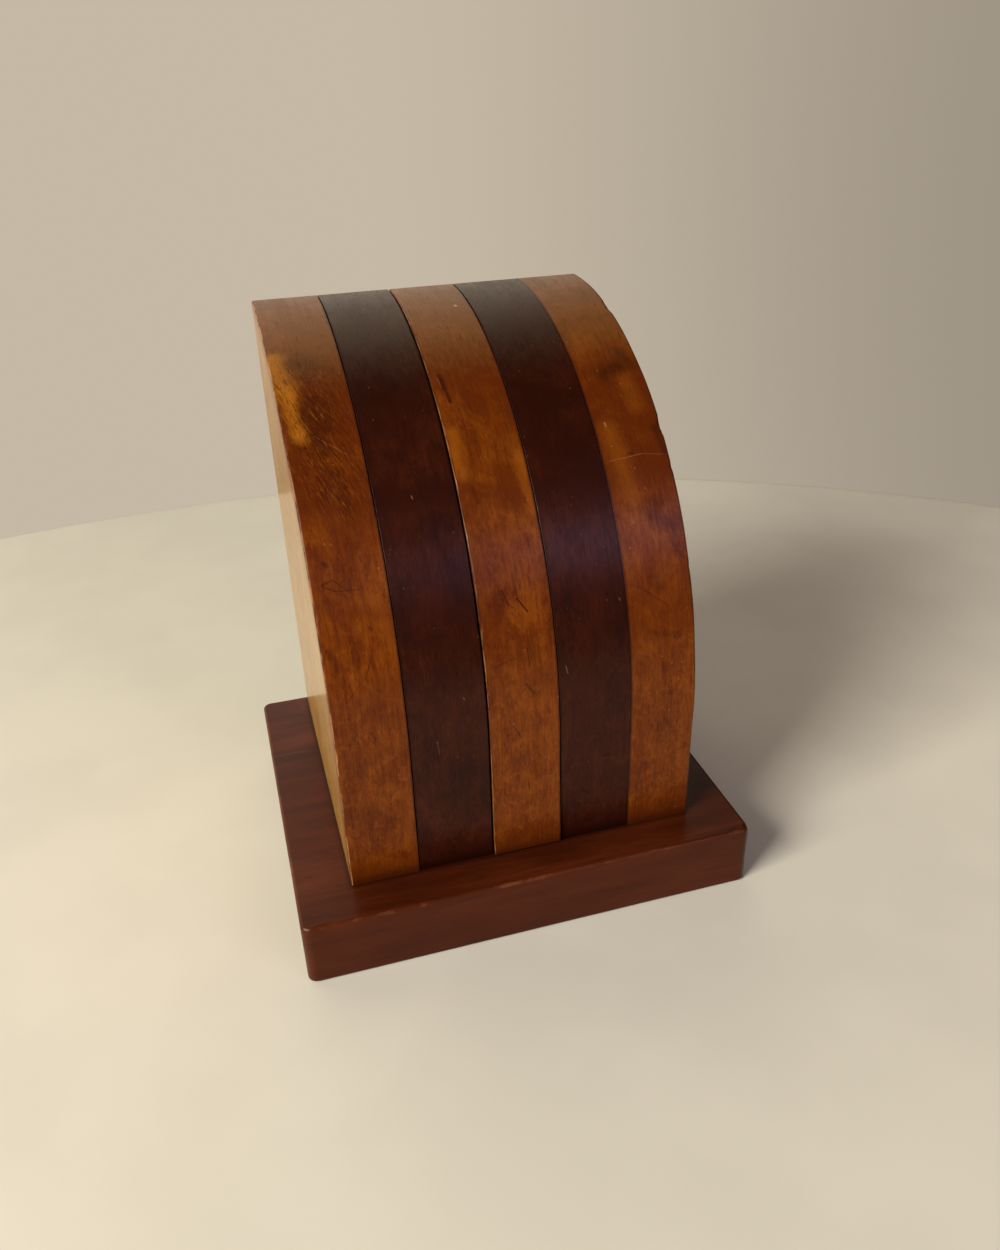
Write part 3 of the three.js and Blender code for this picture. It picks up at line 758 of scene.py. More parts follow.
# Marks in the polish of the fronts, by slice. Each has a tone, two points (across the slice, height in
# millimetres), a radius in millimetres, how soft its edge is, and how strong it is.
MARKS = {
    1: (
        ("gold", ((0.10, 145), (0.16, 140)), 2.6, 0.9, 0.90),
        ("gold", ((0.16, 140), (0.24, 132)), 2.2, 0.9, 0.80),
        ("deep", ((0.40, 144), (0.78, 134)), 4.8, 0.8, 0.60),
        ("dark", ((0.44, 144.4), (0.66, 142.0)), 3.7, 0.6, 1.0),
        ("dark", ((0.52, 137.2), (0.66, 134.2)), 3.6, 0.6, 1.0),
        ("dark", ((0.38, 136), (0.46, 129)), 2.2, 0.9, 0.9),
        ("deep", ((0.70, 142), (0.84, 130)), 2.8, 1.0, 0.8),
        ("dark", ((0.50, 124), (0.70, 117)), 1.6, 1.0, 0.6),
        ("worn", ((0.40, 131.5), (0.78, 127.5)), 0.10, 0.6, 0.20),
        ("dark", ((0.15, 102.6), (0.30, 103.4)), 0.13, 0.6, 0.8),
        ("dark", ((0.30, 103.4), (0.42, 101.4)), 0.13, 0.6, 0.8),
        ("dark", ((0.15, 102.4), (0.32, 100.9)), 0.12, 0.6, 0.8),
        ("dark", ((0.32, 100.9), (0.62, 100.6)), 0.12, 0.6, 0.7),
        ("dark", ((0.66, 85.5), (0.52, 80)), 0.13, 0.6, 0.65),
        ("dark", ((0.50, 80), (0.24, 75)), 0.12, 0.7, 0.5),
        ("dark", ((0.12, 88), (0.18, 84)), 0.9, 0.9, 0.5),
        ("dark", ((0.22, 107), (0.25, 106.5)), 0.5, 0.6, 0.7),
        ("dark", ((0.68, 92), (0.70, 91.5)), 0.45, 0.6, 0.6),
    ),
    2: (
        ("mid", ((0.30, 112), (0.45, 96)), 5.0, 1.0, 0.35),
        ("worn", ((0.45, 118), (0.46, 117.4)), 0.16, 0.5, 0.6),
        ("worn", ((0.72, 71), (0.73, 70.4)), 0.15, 0.5, 0.5),
        ("worn", ((0.34, 60), (0.36, 56)), 0.10, 0.6, 0.35),
        ("dark", ((0.60, 48), (0.65, 38)), 4.0, 1.0, 0.4),
    ),
    3: (
        ("dark", ((0.145, 139.8), (0.165, 137.4)), 0.62, 0.8, 0.95),
        ("dark", ((0.165, 137.4), (0.190, 134.9)), 0.40, 0.9, 0.95),
        ("worn", ((0.105, 139.4), (0.125, 137.4)), 0.12, 0.8, 0.16),
        ("deep", ((0.30, 146.5), (0.42, 144.5)), 2.6, 1.0, 0.8),
        ("worn", ((0.78, 151.2), (0.79, 151.1)), 0.42, 0.4, 1.0),
        ("bright", ((0.10, 129), (0.08, 121)), 1.6, 0.9, 0.6),
        ("bright", ((0.92, 124), (0.93, 112)), 1.5, 0.9, 0.5),
        ("dark", ((0.36, 95.4), (0.40, 92.6)), 0.17, 0.6, 0.9),
        ("dark", ((0.40, 92.6), (0.47, 91.2)), 0.17, 0.6, 0.8),
        ("dark", ((0.54, 93.2), (0.66, 89.8)), 0.22, 0.6, 0.9),
        ("dark", ((0.12, 77.4), (0.42, 78.8)), 0.16, 0.7, 0.6),
        ("dark", ((0.60, 80.8), (0.62, 76.2)), 0.15, 0.7, 0.7),
        ("dark", ((0.76, 81.2), (0.77, 76.6)), 0.14, 0.7, 0.6),
        ("dark", ((0.55, 71.5), (0.64, 69.0)), 0.4, 0.8, 0.6),
        ("dark", ((0.36, 59.5), (0.44, 56.5)), 0.25, 0.8, 0.5),
        ("dark", ((0.20, 118), (0.24, 115)), 0.6, 0.8, 0.5),
    ),
    4: (
        ("mid", ((0.60, 112), (0.55, 84)), 4.5, 1.0, 0.35),
        ("mid", ((0.40, 68), (0.35, 44)), 3.0, 1.0, 0.35),
        ("worn", ((0.10, 74.5), (0.12, 72.5)), 0.16, 0.5, 0.5),
        ("worn", ((0.90, 89.4), (0.91, 88.8)), 0.15, 0.5, 0.5),
        ("dark", ((0.32, 35), (0.40, 33.5)), 0.35, 0.8, 0.7),
    ),
    5: (
        ("dark", ((0.42, 137), (0.62, 138)), 2.5, 0.9, 0.8),
        ("dark", ((0.76, 141), (0.88, 138)), 1.6, 0.9, 0.6),
        ("bright", ((0.66, 135.5), (0.72, 130)), 1.8, 1.0, 0.35),
        ("bright", ((0.20, 126), (0.30, 113)), 2.4, 1.0, 0.40),
        ("dark", ((0.50, 147.8), (0.58, 147.5)), 0.45, 0.7, 0.7),
        ("worn", ((0.10, 119.7), (0.60, 120.4)), 0.11, 0.6, 0.20),
        ("worn", ((0.60, 120.4), (0.97, 119.6)), 0.09, 0.7, 0.14),
        ("dark", ((0.40, 120.9), (0.44, 120.7)), 0.4, 0.6, 0.7),
        ("dark", ((0.88, 125.5), (0.94, 120)), 0.8, 0.9, 0.6),
        ("worn", ((0.17, 127.5), (0.18, 126.8)), 0.22, 0.6, 0.35),
        ("dark", ((0.18, 91.5), (0.62, 85.5)), 0.16, 0.8, 0.5),
        ("dark", ((0.42, 94), (0.50, 90)), 1.2, 1.0, 0.35),
        ("dark", ((0.30, 79.5), (0.72, 77.5)), 0.8, 1.0, 0.4),
        ("dark", ((0.55, 106), (0.85, 104.5)), 1.8, 1.0, 0.5),
    ),
}


def grained_wood(shader, tones, seed, fibre_scale, contrast):
    """Colour of polished wood with upright grain: slow mottling, streaks and fine fibres."""
    offset = (0.37 * seed, 0.21 * seed, 0.13 * seed)
    mottle = shader.noise(shader.stretched((170, 170, 105), offset), 6.0, 0.70, 0.5)
    clouds = shader.noise(shader.stretched((48, 48, 30), offset), 3.0, 0.55, 0.4)
    streaks = shader.noise(shader.stretched((620, 620, 34), offset), 4.0, 0.7, 0.2)
    fibres = shader.noise(shader.stretched(fibre_scale, offset), 3.0, 0.7)
    value = shader.math("MULTIPLY", mottle, 0.40)
    for part, share in ((clouds, 0.20), (streaks, 0.20), (fibres, 0.20)):
        value = shader.math("ADD", value, shader.math("MULTIPLY", part, share))
    low, high = shader.math("SUBTRACT", 0.5, contrast), shader.math("ADD", 0.5, contrast)
    spread = shader.remap(value, low, high)
    colour = shader.ramp(
        spread,
        ((0.0, tones["dark"]), (0.25, tones["deep"]), (0.58, tones["mid"]), (1.0, tones["bright"])),
    )
    # Broad bruises and paler patches in the polish.
    bruises = shader.noise(shader.stretched((85, 85, 70), offset[::-1]), 5.0, 0.68, 0.6)
    colour = shader.mix(shader.remap(bruises, 0.52, 0.66, 0.0, 0.55), colour, tones["deep"])
    colour = shader.mix(shader.remap(bruises, 0.46, 0.32, 0.0, 0.40), colour, tones["bright"])
    # Scuffs of a few millimetres with crisp edges.
    scuffs = shader.noise(shader.stretched((400, 400, 290), offset), 7.0, 0.80, 0.7)
    colour = shader.mix(shader.remap(scuffs, 0.47, 0.40, 0.0, 0.36), colour, tones["deep"])
    colour = shader.mix(shader.remap(scuffs, 0.54, 0.61, 0.0, 0.30), colour, tones["bright"])
    # Short dark flecks along the grain, and as many pale ones.
    flecks = shader.noise(shader.stretched((1300, 1300, 330), offset), 4.0, 0.8, 0.4)
    colour = shader.mix(shader.remap(flecks, 0.48, 0.32, 0.0, 0.5), colour, tones["dark"])
    colour = shader.mix(shader.remap(flecks, 0.55, 0.74, 0.0, 0.45), colour, tones["bright"])
    return colour, spread, flecks, fibres


def slice_material(number):
    """Shellacked wood of one slice, with its own marks, worn arrises and rubbed side faces."""
    dark = number in DARK_SLICES
    tones = ROSEWOOD if dark else AMBER
    shader = Shader(f"slice_{number}_shellac")
    shader.laid = shader.along_front()
    fibre_scale = (1900, 1900, 110) if dark else (1500, 1500, 130)
    height = shader.axis(shader.place, "Z")
    contrast = shader.remap(height, 55 * MM, 95 * MM, 0.29, 0.16)
    colour, spread, flecks, fibres = grained_wood(shader, tones, number, fibre_scale, contrast)
    warp = shader.noise(shader.stretched((900, 900, 330)), 4.0, 0.7)
    colour = painted_curve_shade(shader, height, colour, tones)
    colour = marked(shader, number, colour, tones, warp)
    colour = dust_sheen_and_foot_shade(shader, height, colour, tones, warp)
    patchy = shader.noise(shader.stretched((160, 160, 160), (0, 0, number)), 3.0, 0.65)
    colour = worn_arrises(shader, number, colour, tones, patchy)
    # Fine bright specks and dark open pores.
    specks = shader.cells(shader.stretched((420, 420, 300), (0, number, 0)))
    specks = shader.math("MULTIPLY", shader.remap(specks, 0.11, 0.05), shader.remap(patchy, 0.50, 0.58))
    colour = shader.mix(shader.math("MULTIPLY", specks, 0.30 if dark else 0.22), colour, tones["worn"])
    pores = shader.cells(shader.stretched((1300, 1300, 130), (number, 0, 0)))
    pores = shader.remap(pores, 0.20, 0.08, 0.0, 0.5)
    colour = shader.mix(pores, colour, tones["dark"])
    if number in SWING_SIDES or number in FIXED_BESIDE.values():
        colour = rubbed_sides(shader, number, colour, tones)
    roughness = shader.remap(spread, 0.0, 1.0, 0.46, 0.34)
    roughness = shader.math("ADD", roughness, shader.math("MULTIPLY", pores, 0.3))
    grain = shader.math("ADD", shader.math("SUBTRACT", fibres, pores), flecks)
    normal = shader.bump(grain, 0.09 * MM, strength=0.5)
    slow = shader.noise(shader.stretched((110, 110, 60), (number, number, 0)), 2.0, 0.5)
    normal = shader.bump(slow, 0.25 * MM, normal, 0.5)
    shader.set(Base_Color=colour, Roughness=roughness, Normal=normal, Coat_Normal=normal)
    shader.set(Specular_IOR_Level=0.08, Coat_Weight=0.15, Coat_Roughness=0.22, Coat_IOR=1.5)
    return shader.material


def marked(shader, number, colour, tones, warp):
    """The slice's own marks, then its scraped patch. Broad marks have ragged edges, fine ones don't."""
    wandering = shader.vector("SUBTRACT", noise_vector(shader), (0.5, 0.5, 0.5))
    ragged = shader.vector("ADD", shader.place, shader.vector("SCALE", wandering, scale=0.0032))
    for tone, points, radius, softness, strength in MARKS[number]:
        broad = radius > 0.9
        start, end = on_front(number, *points[0]), on_front(number, *points[1])
        near = shader.near_line(ragged if broad else shader.place, start, end, radius * MM, softness)
        if broad:
            near = shader.math("MULTIPLY", near, shader.remap(warp, 0.32, 0.50, 0.60, 1.0))
        colour = shader.mix(shader.math("MULTIPLY", near, strength), colour, tones[tone])
    if number in SCRAPED:
        colour = scraped(shader, number, ragged, colour, tones)
    return colour


def dust_sheen_and_foot_shade(shader, height, colour, tones, warp):
    """The top is paler and greyer, from dust and a painted sheen, with a ragged lower edge. Painted shade
    darkens the foot above the plinth, most of all in the corner.
    """
    facing_z = shader.math("ABSOLUTE", shader.axis(shader.facing, "Z"))
    # Dust and painted sheen on the faces that point up.
    top_dust_and_sheen = shader.math("ADD", facing_z, shader.math("MULTIPLY", warp, 0.12))
    colour = shader.mix(shader.remap(top_dust_and_sheen, 0.90, 1.02, 0.0, 0.42), colour, tones["dust_and_sheen"])
    # Painted shade at the foot, darkest in the corner against the plinth.
    foot = shader.remap(height, DECK_Z + 9 * MM, DECK_Z + 1 * MM, 0.0, 0.85)
    colour = shader.mix(foot, colour, tones["deep"])
    corner = shader.remap(height, DECK_Z + 3.2 * MM, DECK_Z + 0.5 * MM, 0.0, 0.55)
    return shader.mix(corner, colour, tones["dark"])


def worn_arrises(shader, number, colour, tones, patchy):
    """Grime and painted shade along the joints, and polish rubbed off the arris itself."""
    left, right = SPANS[number]
    facing_x = shader.math("ABSOLUTE", shader.axis(shader.facing, "X"))
    x = shader.axis(shader.place, "X")
    from_left, from_right = shader.math("SUBTRACT", x, left), shader.math("SUBTRACT", right, x)
    from_side = shader.math("MINIMUM", from_left, from_right)
    on_rim = shader.remap(facing_x, 0.995, 0.97)
    # Grime and painted shade: darker within a fraction of a millimetre of the joints.
    seam_grime_and_shade = shader.math("MULTIPLY", shader.remap(from_side, 0.6 * MM, 0.15 * MM, 0.0, 0.6), on_rim)
    colour = shader.mix(seam_grime_and_shade, colour, tones["dark"])
    rubbed = shader.math("MULTIPLY", shader.remap(facing_x, 0.35, 0.75), on_rim)
    rubbed = shader.math("MULTIPLY", rubbed, shader.remap(patchy, 0.42, 0.66, 0.0, 0.5))
    return shader.mix(rubbed, colour, tones["bright" if number in DARK_SLICES else "worn"])


def painted_curve_shade(shader, height, colour, tones):
    """Painted shade: the front is darker, unevenly, over the curve than on its upright part."""
    # Painted shade over the curve, in two steps up the height.
    curve_shade = shader.remap(height, 62 * MM, 78 * MM, 0.0, 0.46)
    upper_curve_shade = shader.remap(height, 108 * MM, 122 * MM, 0.0, 0.34)
    drift = shader.noise(shader.stretched((30, 30, 45), (2, 0, 1)), 3.0, 0.6, 0.5)
    share = shader.math("ADD", curve_shade, upper_curve_shade)
    share = shader.math("MULTIPLY", share, shader.remap(drift, 0.3, 0.7, 0.5, 1.5))
    return shader.mix(share, colour, tones["deep"])


def scraped(shader, number, ragged, colour, tones):
    """Polish scraped away in short crossing strokes, down to paler wood."""
    points, radius, strength = SCRAPED[number]
    start, end = on_front(number, *points[0]), on_front(number, *points[1])
    near = shader.math("MULTIPLY", shader.near_line(ragged, start, end, radius * MM, 0.7), strength)
    turned_place = shader.nodes.new("ShaderNodeVectorRotate")
    turned_place.rotation_type = "Y_AXIS"
    turned_place.inputs["Angle"].default_value = 0.35
    shader.feed(turned_place.inputs["Vector"], shader.laid)
    crossing = turned_place.outputs[0]
    strokes = shader.noise(shader.vector("MULTIPLY", crossing, (2900, 2900, 330)), 6.0, 0.80, 0.6)
    pale = shader.math("MULTIPLY", near, shader.remap(strokes, 0.53, 0.66, 0.0, 0.32))
    colour = shader.mix(shader.math("MULTIPLY", near, 0.35), colour, tones["deep"])
    stained = shader.math("MULTIPLY", near, shader.remap(strokes, 0.50, 0.40))
    colour = shader.mix(stained, colour, tones["dark"])
    return shader.mix(pale, colour, tones["gold"])


def cheek_material(number):
    """The outer side face of the left or right slice: flat and highly polished, in paler tones that paint in
    its grazing reflection of the pale room; near the rim it turns to the slices' amber.
    """
    shader = Shader(f"slice_{number}_cheek")
    colour, _, flecks, _ = grained_wood(shader, CHEEK, number + 4, (1500, 1500, 150), 0.22)
    away = shader.from_arc_centre()[2]
    near_rim = shader.remap(away, ARC_RADIUS - 9 * MM, ARC_RADIUS - 0.5 * MM, 0.0, 0.8)
    colour = shader.mix(near_rim, colour, AMBER["mid"])
    slow = shader.noise(shader.stretched((70, 70, 45), (number, 0, 0)), 2.0, 0.5)
    normal = shader.bump(slow, 0.12 * MM, strength=0.35)
    shader.set(Base_Color=colour, Roughness=shader.remap(flecks, 0.3, 0.7, 0.42, 0.32))
    shader.set(Normal=normal, Coat_Normal=normal)
    shader.set(Specular_IOR_Level=0.2, Coat_Weight=0.55, Coat_Roughness=0.16, Coat_IOR=1.5)
    return shader.material


def noise_vector(shader):
    """A wandering vector, each part from 0 to 1, that makes the edges of marks ragged."""
    node = shader.nodes.new("ShaderNodeTexNoise")
    shader.feed(node.inputs["Vector"], shader.stretched((330, 330, 190)))
    node.inputs["Scale"].default_value = 1.0
    node.inputs["Detail"].default_value = 5.0
    node.inputs["Roughness"].default_value = 0.68
    return node.outputs["Color"]


def rubbed_sides(shader, number, colour, tones):
    """Side faces between the slices: barely polished, with arcs rubbed in by the turning neighbour."""
    facing_x = shader.math("ABSOLUTE", shader.axis(shader.facing, "X"))
    on_side = shader.remap(facing_x, 0.975, 0.998)
    x = shader.axis(shader.place, "X")
    left, right = SPANS[number]
    if number == 1:
        on_side = shader.math("MULTIPLY", on_side, shader.math("GREATER_THAN", x, (left + right) / 2))
    centre = (0, AXLE_Y, AXLE_Z)
    arcs = shader.rings(centre, 2.2 * MM, 3.0)
    bare = shader.mix(shader.remap(arcs, 0.2, 0.9, 0.0, 0.35), colour, tones["worn"])
    return shader.mix(shader.math("MULTIPLY", on_side, 0.55), colour, bare)


def bare_wood_material(name, tones):
    """Unpolished wood inside pockets, holes and under the box."""
    shader = Shader(name)
    colour, spread, _, fibres = grained_wood(shader, tones, 9, (1400, 1400, 140), 0.2)
    pale = shader.mix(0.35, colour, tones["worn"])
    cutter_marks = shader.noise(shader.stretched((900, 260, 260)), 2.0, 0.5)
    colour = shader.mix(shader.remap(cutter_marks, 0.4, 0.7, 0.0, 0.35), pale, tones["mid"])
    shader.set(Base_Color=colour, Roughness=shader.remap(spread, 0, 1, 0.82, 0.66))
    shader.set(Normal=shader.bump(shader.math("ADD", fibres, cutter_marks), 0.12 * MM, strength=0.5))
    shader.set(Specular_IOR_Level=0.35)
    return shader.material


def foot_dirt_and_contact_shade(shader):
    """Dirt and painted contact shade on the plinth's top in a narrow band round the foot of the slices."""
    body_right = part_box("slice_5")[1].x
    middle_x, half_x = (body_low.x + body_right) / 2, (body_right - body_low.x) / 2
    beside = shader.math("ABSOLUTE", shader.math("SUBTRACT", shader.axis(shader.place, "X"), middle_x))
    beside = shader.math("MAXIMUM", shader.math("SUBTRACT", beside, half_x), 0.0)
    before = shader.math("MAXIMUM", shader.math("SUBTRACT", FRONT_Y, shader.axis(shader.place, "Y")), 0.0)
    ragged = shader.noise(shader.stretched((500, 500, 500), (5, 5, 5)), 4.0, 0.7)
    outside = shader.math("MAXIMUM", beside, before)
    outside = shader.math("ADD", outside, shader.math("MULTIPLY", ragged, 0.8 * MM))
    return shader.remap(outside, 2.2 * MM, 0.4 * MM, 0.0, 0.8)


def plinth_material():
    """Polished mahogany with grain along the board's length, worn arrises and open pores."""
    shader = Shader("plinth_mahogany")
    tones = MAHOGANY
    figure = shader.noise(shader.stretched((13, 90, 120), (0.4, 0, 0)), 6.0, 0.62, 0.8)
    clouds = shader.noise(shader.stretched((22, 45, 45)), 2.0, 0.5)
    value = shader.math("ADD", shader.math("MULTIPLY", figure, 0.6), shader.math("MULTIPLY", clouds, 0.4))
    spread = shader.remap(value, 0.28, 0.72)
    colour = shader.ramp(
        spread,
        ((0.0, tones["dark"]), (0.3, tones["deep"]), (0.65, tones["mid"]), (1.0, tones["bright"])),
    )
    pores = shader.cells(shader.stretched((110, 1500, 1500)))
    pores = shader.remap(pores, 0.24, 0.10, 0.0, 0.75)
    colour = shader.mix(pores, colour, tones["dark"])
    # Darker round the foot of the slices: dirt and painted contact shade.
    colour = shader.mix(foot_dirt_and_contact_shade(shader), colour, tones["dark"])
    # Painted light: the upright sides are lighter than the top.
    up = shader.math("ABSOLUTE", shader.axis(shader.facing, "Z"))
    colour = shader.mix(shader.remap(up, 0.7, 0.3, 0.0, 0.30), colour, tones["bright"])
    # Rubbed arrises: where the surface faces between up and out.
    edge = shader.math("MULTIPLY", shader.remap(up, 0.12, 0.4), shader.remap(up, 0.97, 0.8))
    patchy = shader.noise(shader.stretched((120, 120, 120), (3, 1, 2)), 4.0, 0.7)
    edge = shader.math("MULTIPLY", edge, shader.remap(patchy, 0.48, 0.68, 0.05, 0.55))
    colour = shader.mix(edge, colour, tones["worn"])
    scratches = shader.noise(shader.stretched((40, 900, 900), (2, 5, 1)), 2.0, 0.5, 1.5)
    scratched = shader.remap(scratches, 0.68, 0.74, 0.0, 0.18)
    colour = shader.mix(scratched, colour, tones["worn"])
    roughness = shader.remap(clouds, 0.3, 0.7, 0.40, 0.30)
    normal = shader.bump(shader.math("SUBTRACT", figure, pores), 0.06 * MM, strength=0.35)
    slow = shader.noise(shader.stretched((60, 60, 60), (7, 0, 0)), 2.0, 0.5)
    normal = shader.bump(slow, 0.25 * MM, normal, 0.4)
    shader.set(Base_Color=colour, Roughness=roughness, Normal=normal, Coat_Normal=normal)
    shader.set(Specular_IOR_Level=0.08, Coat_Weight=0.12, Coat_Roughness=0.17, Coat_IOR=1.5)
    return shader.material


def metal_material(name, bright, tarnish, turning, roughness):
    """Worked metal: tarnish in patches, and fine tool lines across the turning axis."""
    shader = Shader(name)
    patches = shader.noise(shader.stretched((240, 240, 240)), 4.0, 0.6, 0.4)
    lines = shader.noise(shader.stretched(turning), 2.0, 0.6)
    value = shader.math("ADD", shader.math("MULTIPLY", patches, 0.75), shader.math("MULTIPLY", lines, 0.25))
    spread = shader.remap(value, 0.36, 0.62)
    colour = shader.mix(spread, tarnish, bright)
    shader.set(Base_Color=colour, Metallic=1.0)
    shader.set(Roughness=shader.remap(spread, 0, 1, roughness + 0.2, roughness))
    shader.set(Normal=shader.bump(lines, 0.03 * MM, strength=0.4))
    return shader.material


def dowel_material():
    shader = Shader("dowel_beech")
    flecks = shader.noise(shader.stretched((90, 1600, 1600)), 3.0, 0.6)
    clouds = shader.noise(shader.stretched((120, 200, 200)), 2.0, 0.5)
    value = shader.math("ADD", shader.math("MULTIPLY", flecks, 0.6), shader.math("MULTIPLY", clouds, 0.4))
    colour = shader.ramp(
        shader.remap(value, 0.35, 0.65),
        ((0.0, (0.30, 0.15, 0.065)), (0.5, (0.46, 0.27, 0.13)), (1.0, (0.58, 0.38, 0.21))),
    )
    shader.set(Base_Color=colour, Roughness=shader.remap(flecks, 0.3, 0.7, 0.75, 0.6))
    shader.set(Normal=shader.bump(flecks, 0.1 * MM, strength=0.4))
    return shader.material


BARE = {
    "light": bare_wood_material("light_bare", AMBER),
    "dark": bare_wood_material("dark_bare", ROSEWOOD),
    "plinth": bare_wood_material("plinth_bare", MAHOGANY),
}
BRASS = metal_material("turned_brass", (0.72, 0.50, 0.20), (0.30, 0.17, 0.06), (1900, 300, 300), 0.24)
STRIP_BRASS = metal_material("strip_brass", (0.76, 0.56, 0.25), (0.42, 0.26, 0.10), (200, 80, 2400), 0.2)
STEEL = metal_material("screw_steel", (0.42, 0.41, 0.39), (0.12, 0.09, 0.07), (700, 700, 1900), 0.34)
BEECH = dowel_material()


# ---- The pieces ----


def finish_piece(obj, name, body):
    """Shades a finished piece, makes it ride on its body and stand for its CAD node."""
    shade(obj)
    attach(obj, body)
    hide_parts(name)


def inner_face_cutters(number, bare):
    """What a fixed slice has in the face beside its swinging neighbour."""
    swinging = 2 if number == 1 else 3
    side = SWING_SIDES[swinging]
    left, right = SPANS[number]
    face = right if side < 0 else left
    spring_low, spring_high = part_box(f"detent_spring_{swinging}")
    pin_place = middle_of(f"stop_pin_{swinging}")[1:]
    recess = rounded_box_outline(
        (spring_low.y - GAP, spring_high.y + GAP), (spring_low.z - GAP, spring_high.z + GAP), 1.2 * MM
    )
    return [
        round_cutter((AXLE_Y, AXLE_Z), BORE_RADIUS, face, side, 12.2 * MM, bare),
        round_cutter(pin_place, 2.1 * MM, face, side, 9.2 * MM, bare),
        sideways_cutter(recess, face, side, DETENT_RECESS_DEPTH, bare, 0.15 * MM, 0.2 * MM),
    ]


def screw_hole(number, y, bare):
    """The pilot hole for a wood screw in a slice's foot."""
    x = sum(SPANS[number]) / 2
    profile = [(DECK_Z - 1 * MM, 2.3 * MM), (36 * MM, 2.2 * MM), (39.4 * MM, 0.2 * MM)]
    return upward_hole(x, y, profile, bare)


def screw_rows():
    """Front and back place of the wood screws."""
    return [middle_of(f"plinth_screw_1_{row}")[1] for row in ("front", "back")]


def make_slices():
    for number in range(1, 6):
        dark = number in DARK_SLICES
        bare = BARE["dark" if dark else "light"]
        left, right = SPANS[number]
        body = slice_body(number, slice_material(number), bare)
        cutters = []
        if number in SWING_SIDES:
            outward = SWING_SIDES[number]
            face = left if outward < 0 else right
            notch_y, notch_z = DETENT_PLACE
            notch = rounded_box_outline(
                (notch_y - DETENT_NOTCH["half_width"], notch_y + DETENT_NOTCH["half_width"]),
                (notch_z - DETENT_NOTCH["half_height"], notch_z + DETENT_NOTCH["half_height"]),
                0.8 * MM,
            )
            cutters = [
                through_cutter(number, bare),
                sideways_cutter(pocket_outline, face, -outward, POCKET["depth"], bare),
                sideways_cutter(groove_outline, face, -outward, GROOVE["depth"], bare, 0.25 * MM, 0.5 * MM),
                sideways_cutter(notch, face, -outward, DETENT_NOTCH["depth"], bare, 0.2 * MM, 0.2 * MM),
            ]
        else:
            if number in FIXED_BESIDE.values():
                cutters += inner_face_cutters(number, bare)
            cutters += [screw_hole(number, y, bare) for y in screw_rows()]
        carve(body, cutters)
        rides = f"swing_{number}" if number in SWING_SIDES else "base"
        finish_piece(body, f"slice_{number}", rides)


# Nicks in the plinth's upper arris: place along X and Y as shares of the half width and half depth, then
# half length and depth in millimetres.
PLINTH_NICKS = (
    (0.93, -1.0, 2.4, 0.5),
    (0.99, -0.97, 2.0, 0.7),
    (0.80, -1.0, 1.6, 0.35),
    (-0.98, -0.99, 1.6, 0.35),
    (-0.90, -1.0, 3.2, 0.55),
    (-0.62, -1.0, 1.4, 0.3),
    (-0.15, -1.0, 1.2, 0.3),
    (0.35, -1.0, 1.8, 0.3),
    (-1.0, -0.35, 1.6, 0.4),
    (1.0, 0.2, 1.8, 0.45),
    (1.0, 0.97, 2.0, 0.6),
)
PLINTH_CORNER = 2.6 * MM
PLINTH_EASE = 1.0 * MM


def plinth_loop():
    """The plinth's outline as (x, y, normal x, normal y), anticlockwise from the right front corner."""
    half_x, half_y = plinth_high.x, plinth_high.y
    loop = []
    corners = ((1, -1, -90), (1, 1, 0), (-1, 1, 90), (-1, -1, 180))
    for side_x, side_y, begin in corners:
        centre = (side_x * (half_x - PLINTH_CORNER), side_y * (half_y - PLINTH_CORNER))
        turn = math.radians(begin)
        if loop:
            loop += straight_between(loop[-1], centre, turn)
        loop += arc(centre, PLINTH_CORNER, turn, turn + math.pi / 2, 0.7 * MM)
    loop += straight_between(loop[-1], (half_x - PLINTH_CORNER, PLINTH_CORNER - half_y), -math.pi / 2)
    return loop


def straight_between(last, centre, turn):
    """Points strictly between the end of one corner and the start of the next."""
    nx, ny = math.cos(turn), math.sin(turn)
    start = Vector(last[:2])
    end = Vector((centre[0] + PLINTH_CORNER * nx, centre[1] + PLINTH_CORNER * ny))
    count = math.ceil((end - start).length / (0.9 * MM))
    points = []
    for i in range(1, count):
        place = start.lerp(end, i / count)
        points.append((place.x, place.y, nx, ny))
    return points


def plinth_section(ease):
    """Steps up the plinth's edge, for one size of its upper ease: how far in, height, and where the step
    stands in its own part."""
    under = 0.9 * PLINTH_EASE
    wall = DECK_Z - 3.2 * PLINTH_EASE
    quarter = np.linspace(0, math.pi / 2, 6)
    section = [(under * (1 - math.sin(a)), under * (1 - math.cos(a)), 1 - math.cos(a)) for a in quarter]
    section += [(0, PLINTH_EASE + wall * i / 8, i / 8) for i in range(1, 8)]
    for a in reversed(quarter):
        section.append((ease * (1 - math.sin(a)), DECK_Z - ease * (1 - math.cos(a)), 1 - math.cos(a)))
    return section


def plinth_ease(x, y, distance):
    """Size of the upper ease at a place on the outline: uneven, and larger in the nicks."""
    ease = PLINTH_EASE * (0.75 + 0.5 * wobble(distance, 17 * MM, 5))
    for nick_x, nick_y, half, depth in PLINTH_NICKS:
        off = math.dist((x, y), (nick_x * plinth_high.x, nick_y * plinth_high.y)) / (half * MM)
        if off < 1:
            ease += depth * MM * (1 - off**2) * (0.6 + 0.8 * wobble(distance, 0.8 * MM, 61))
    return ease


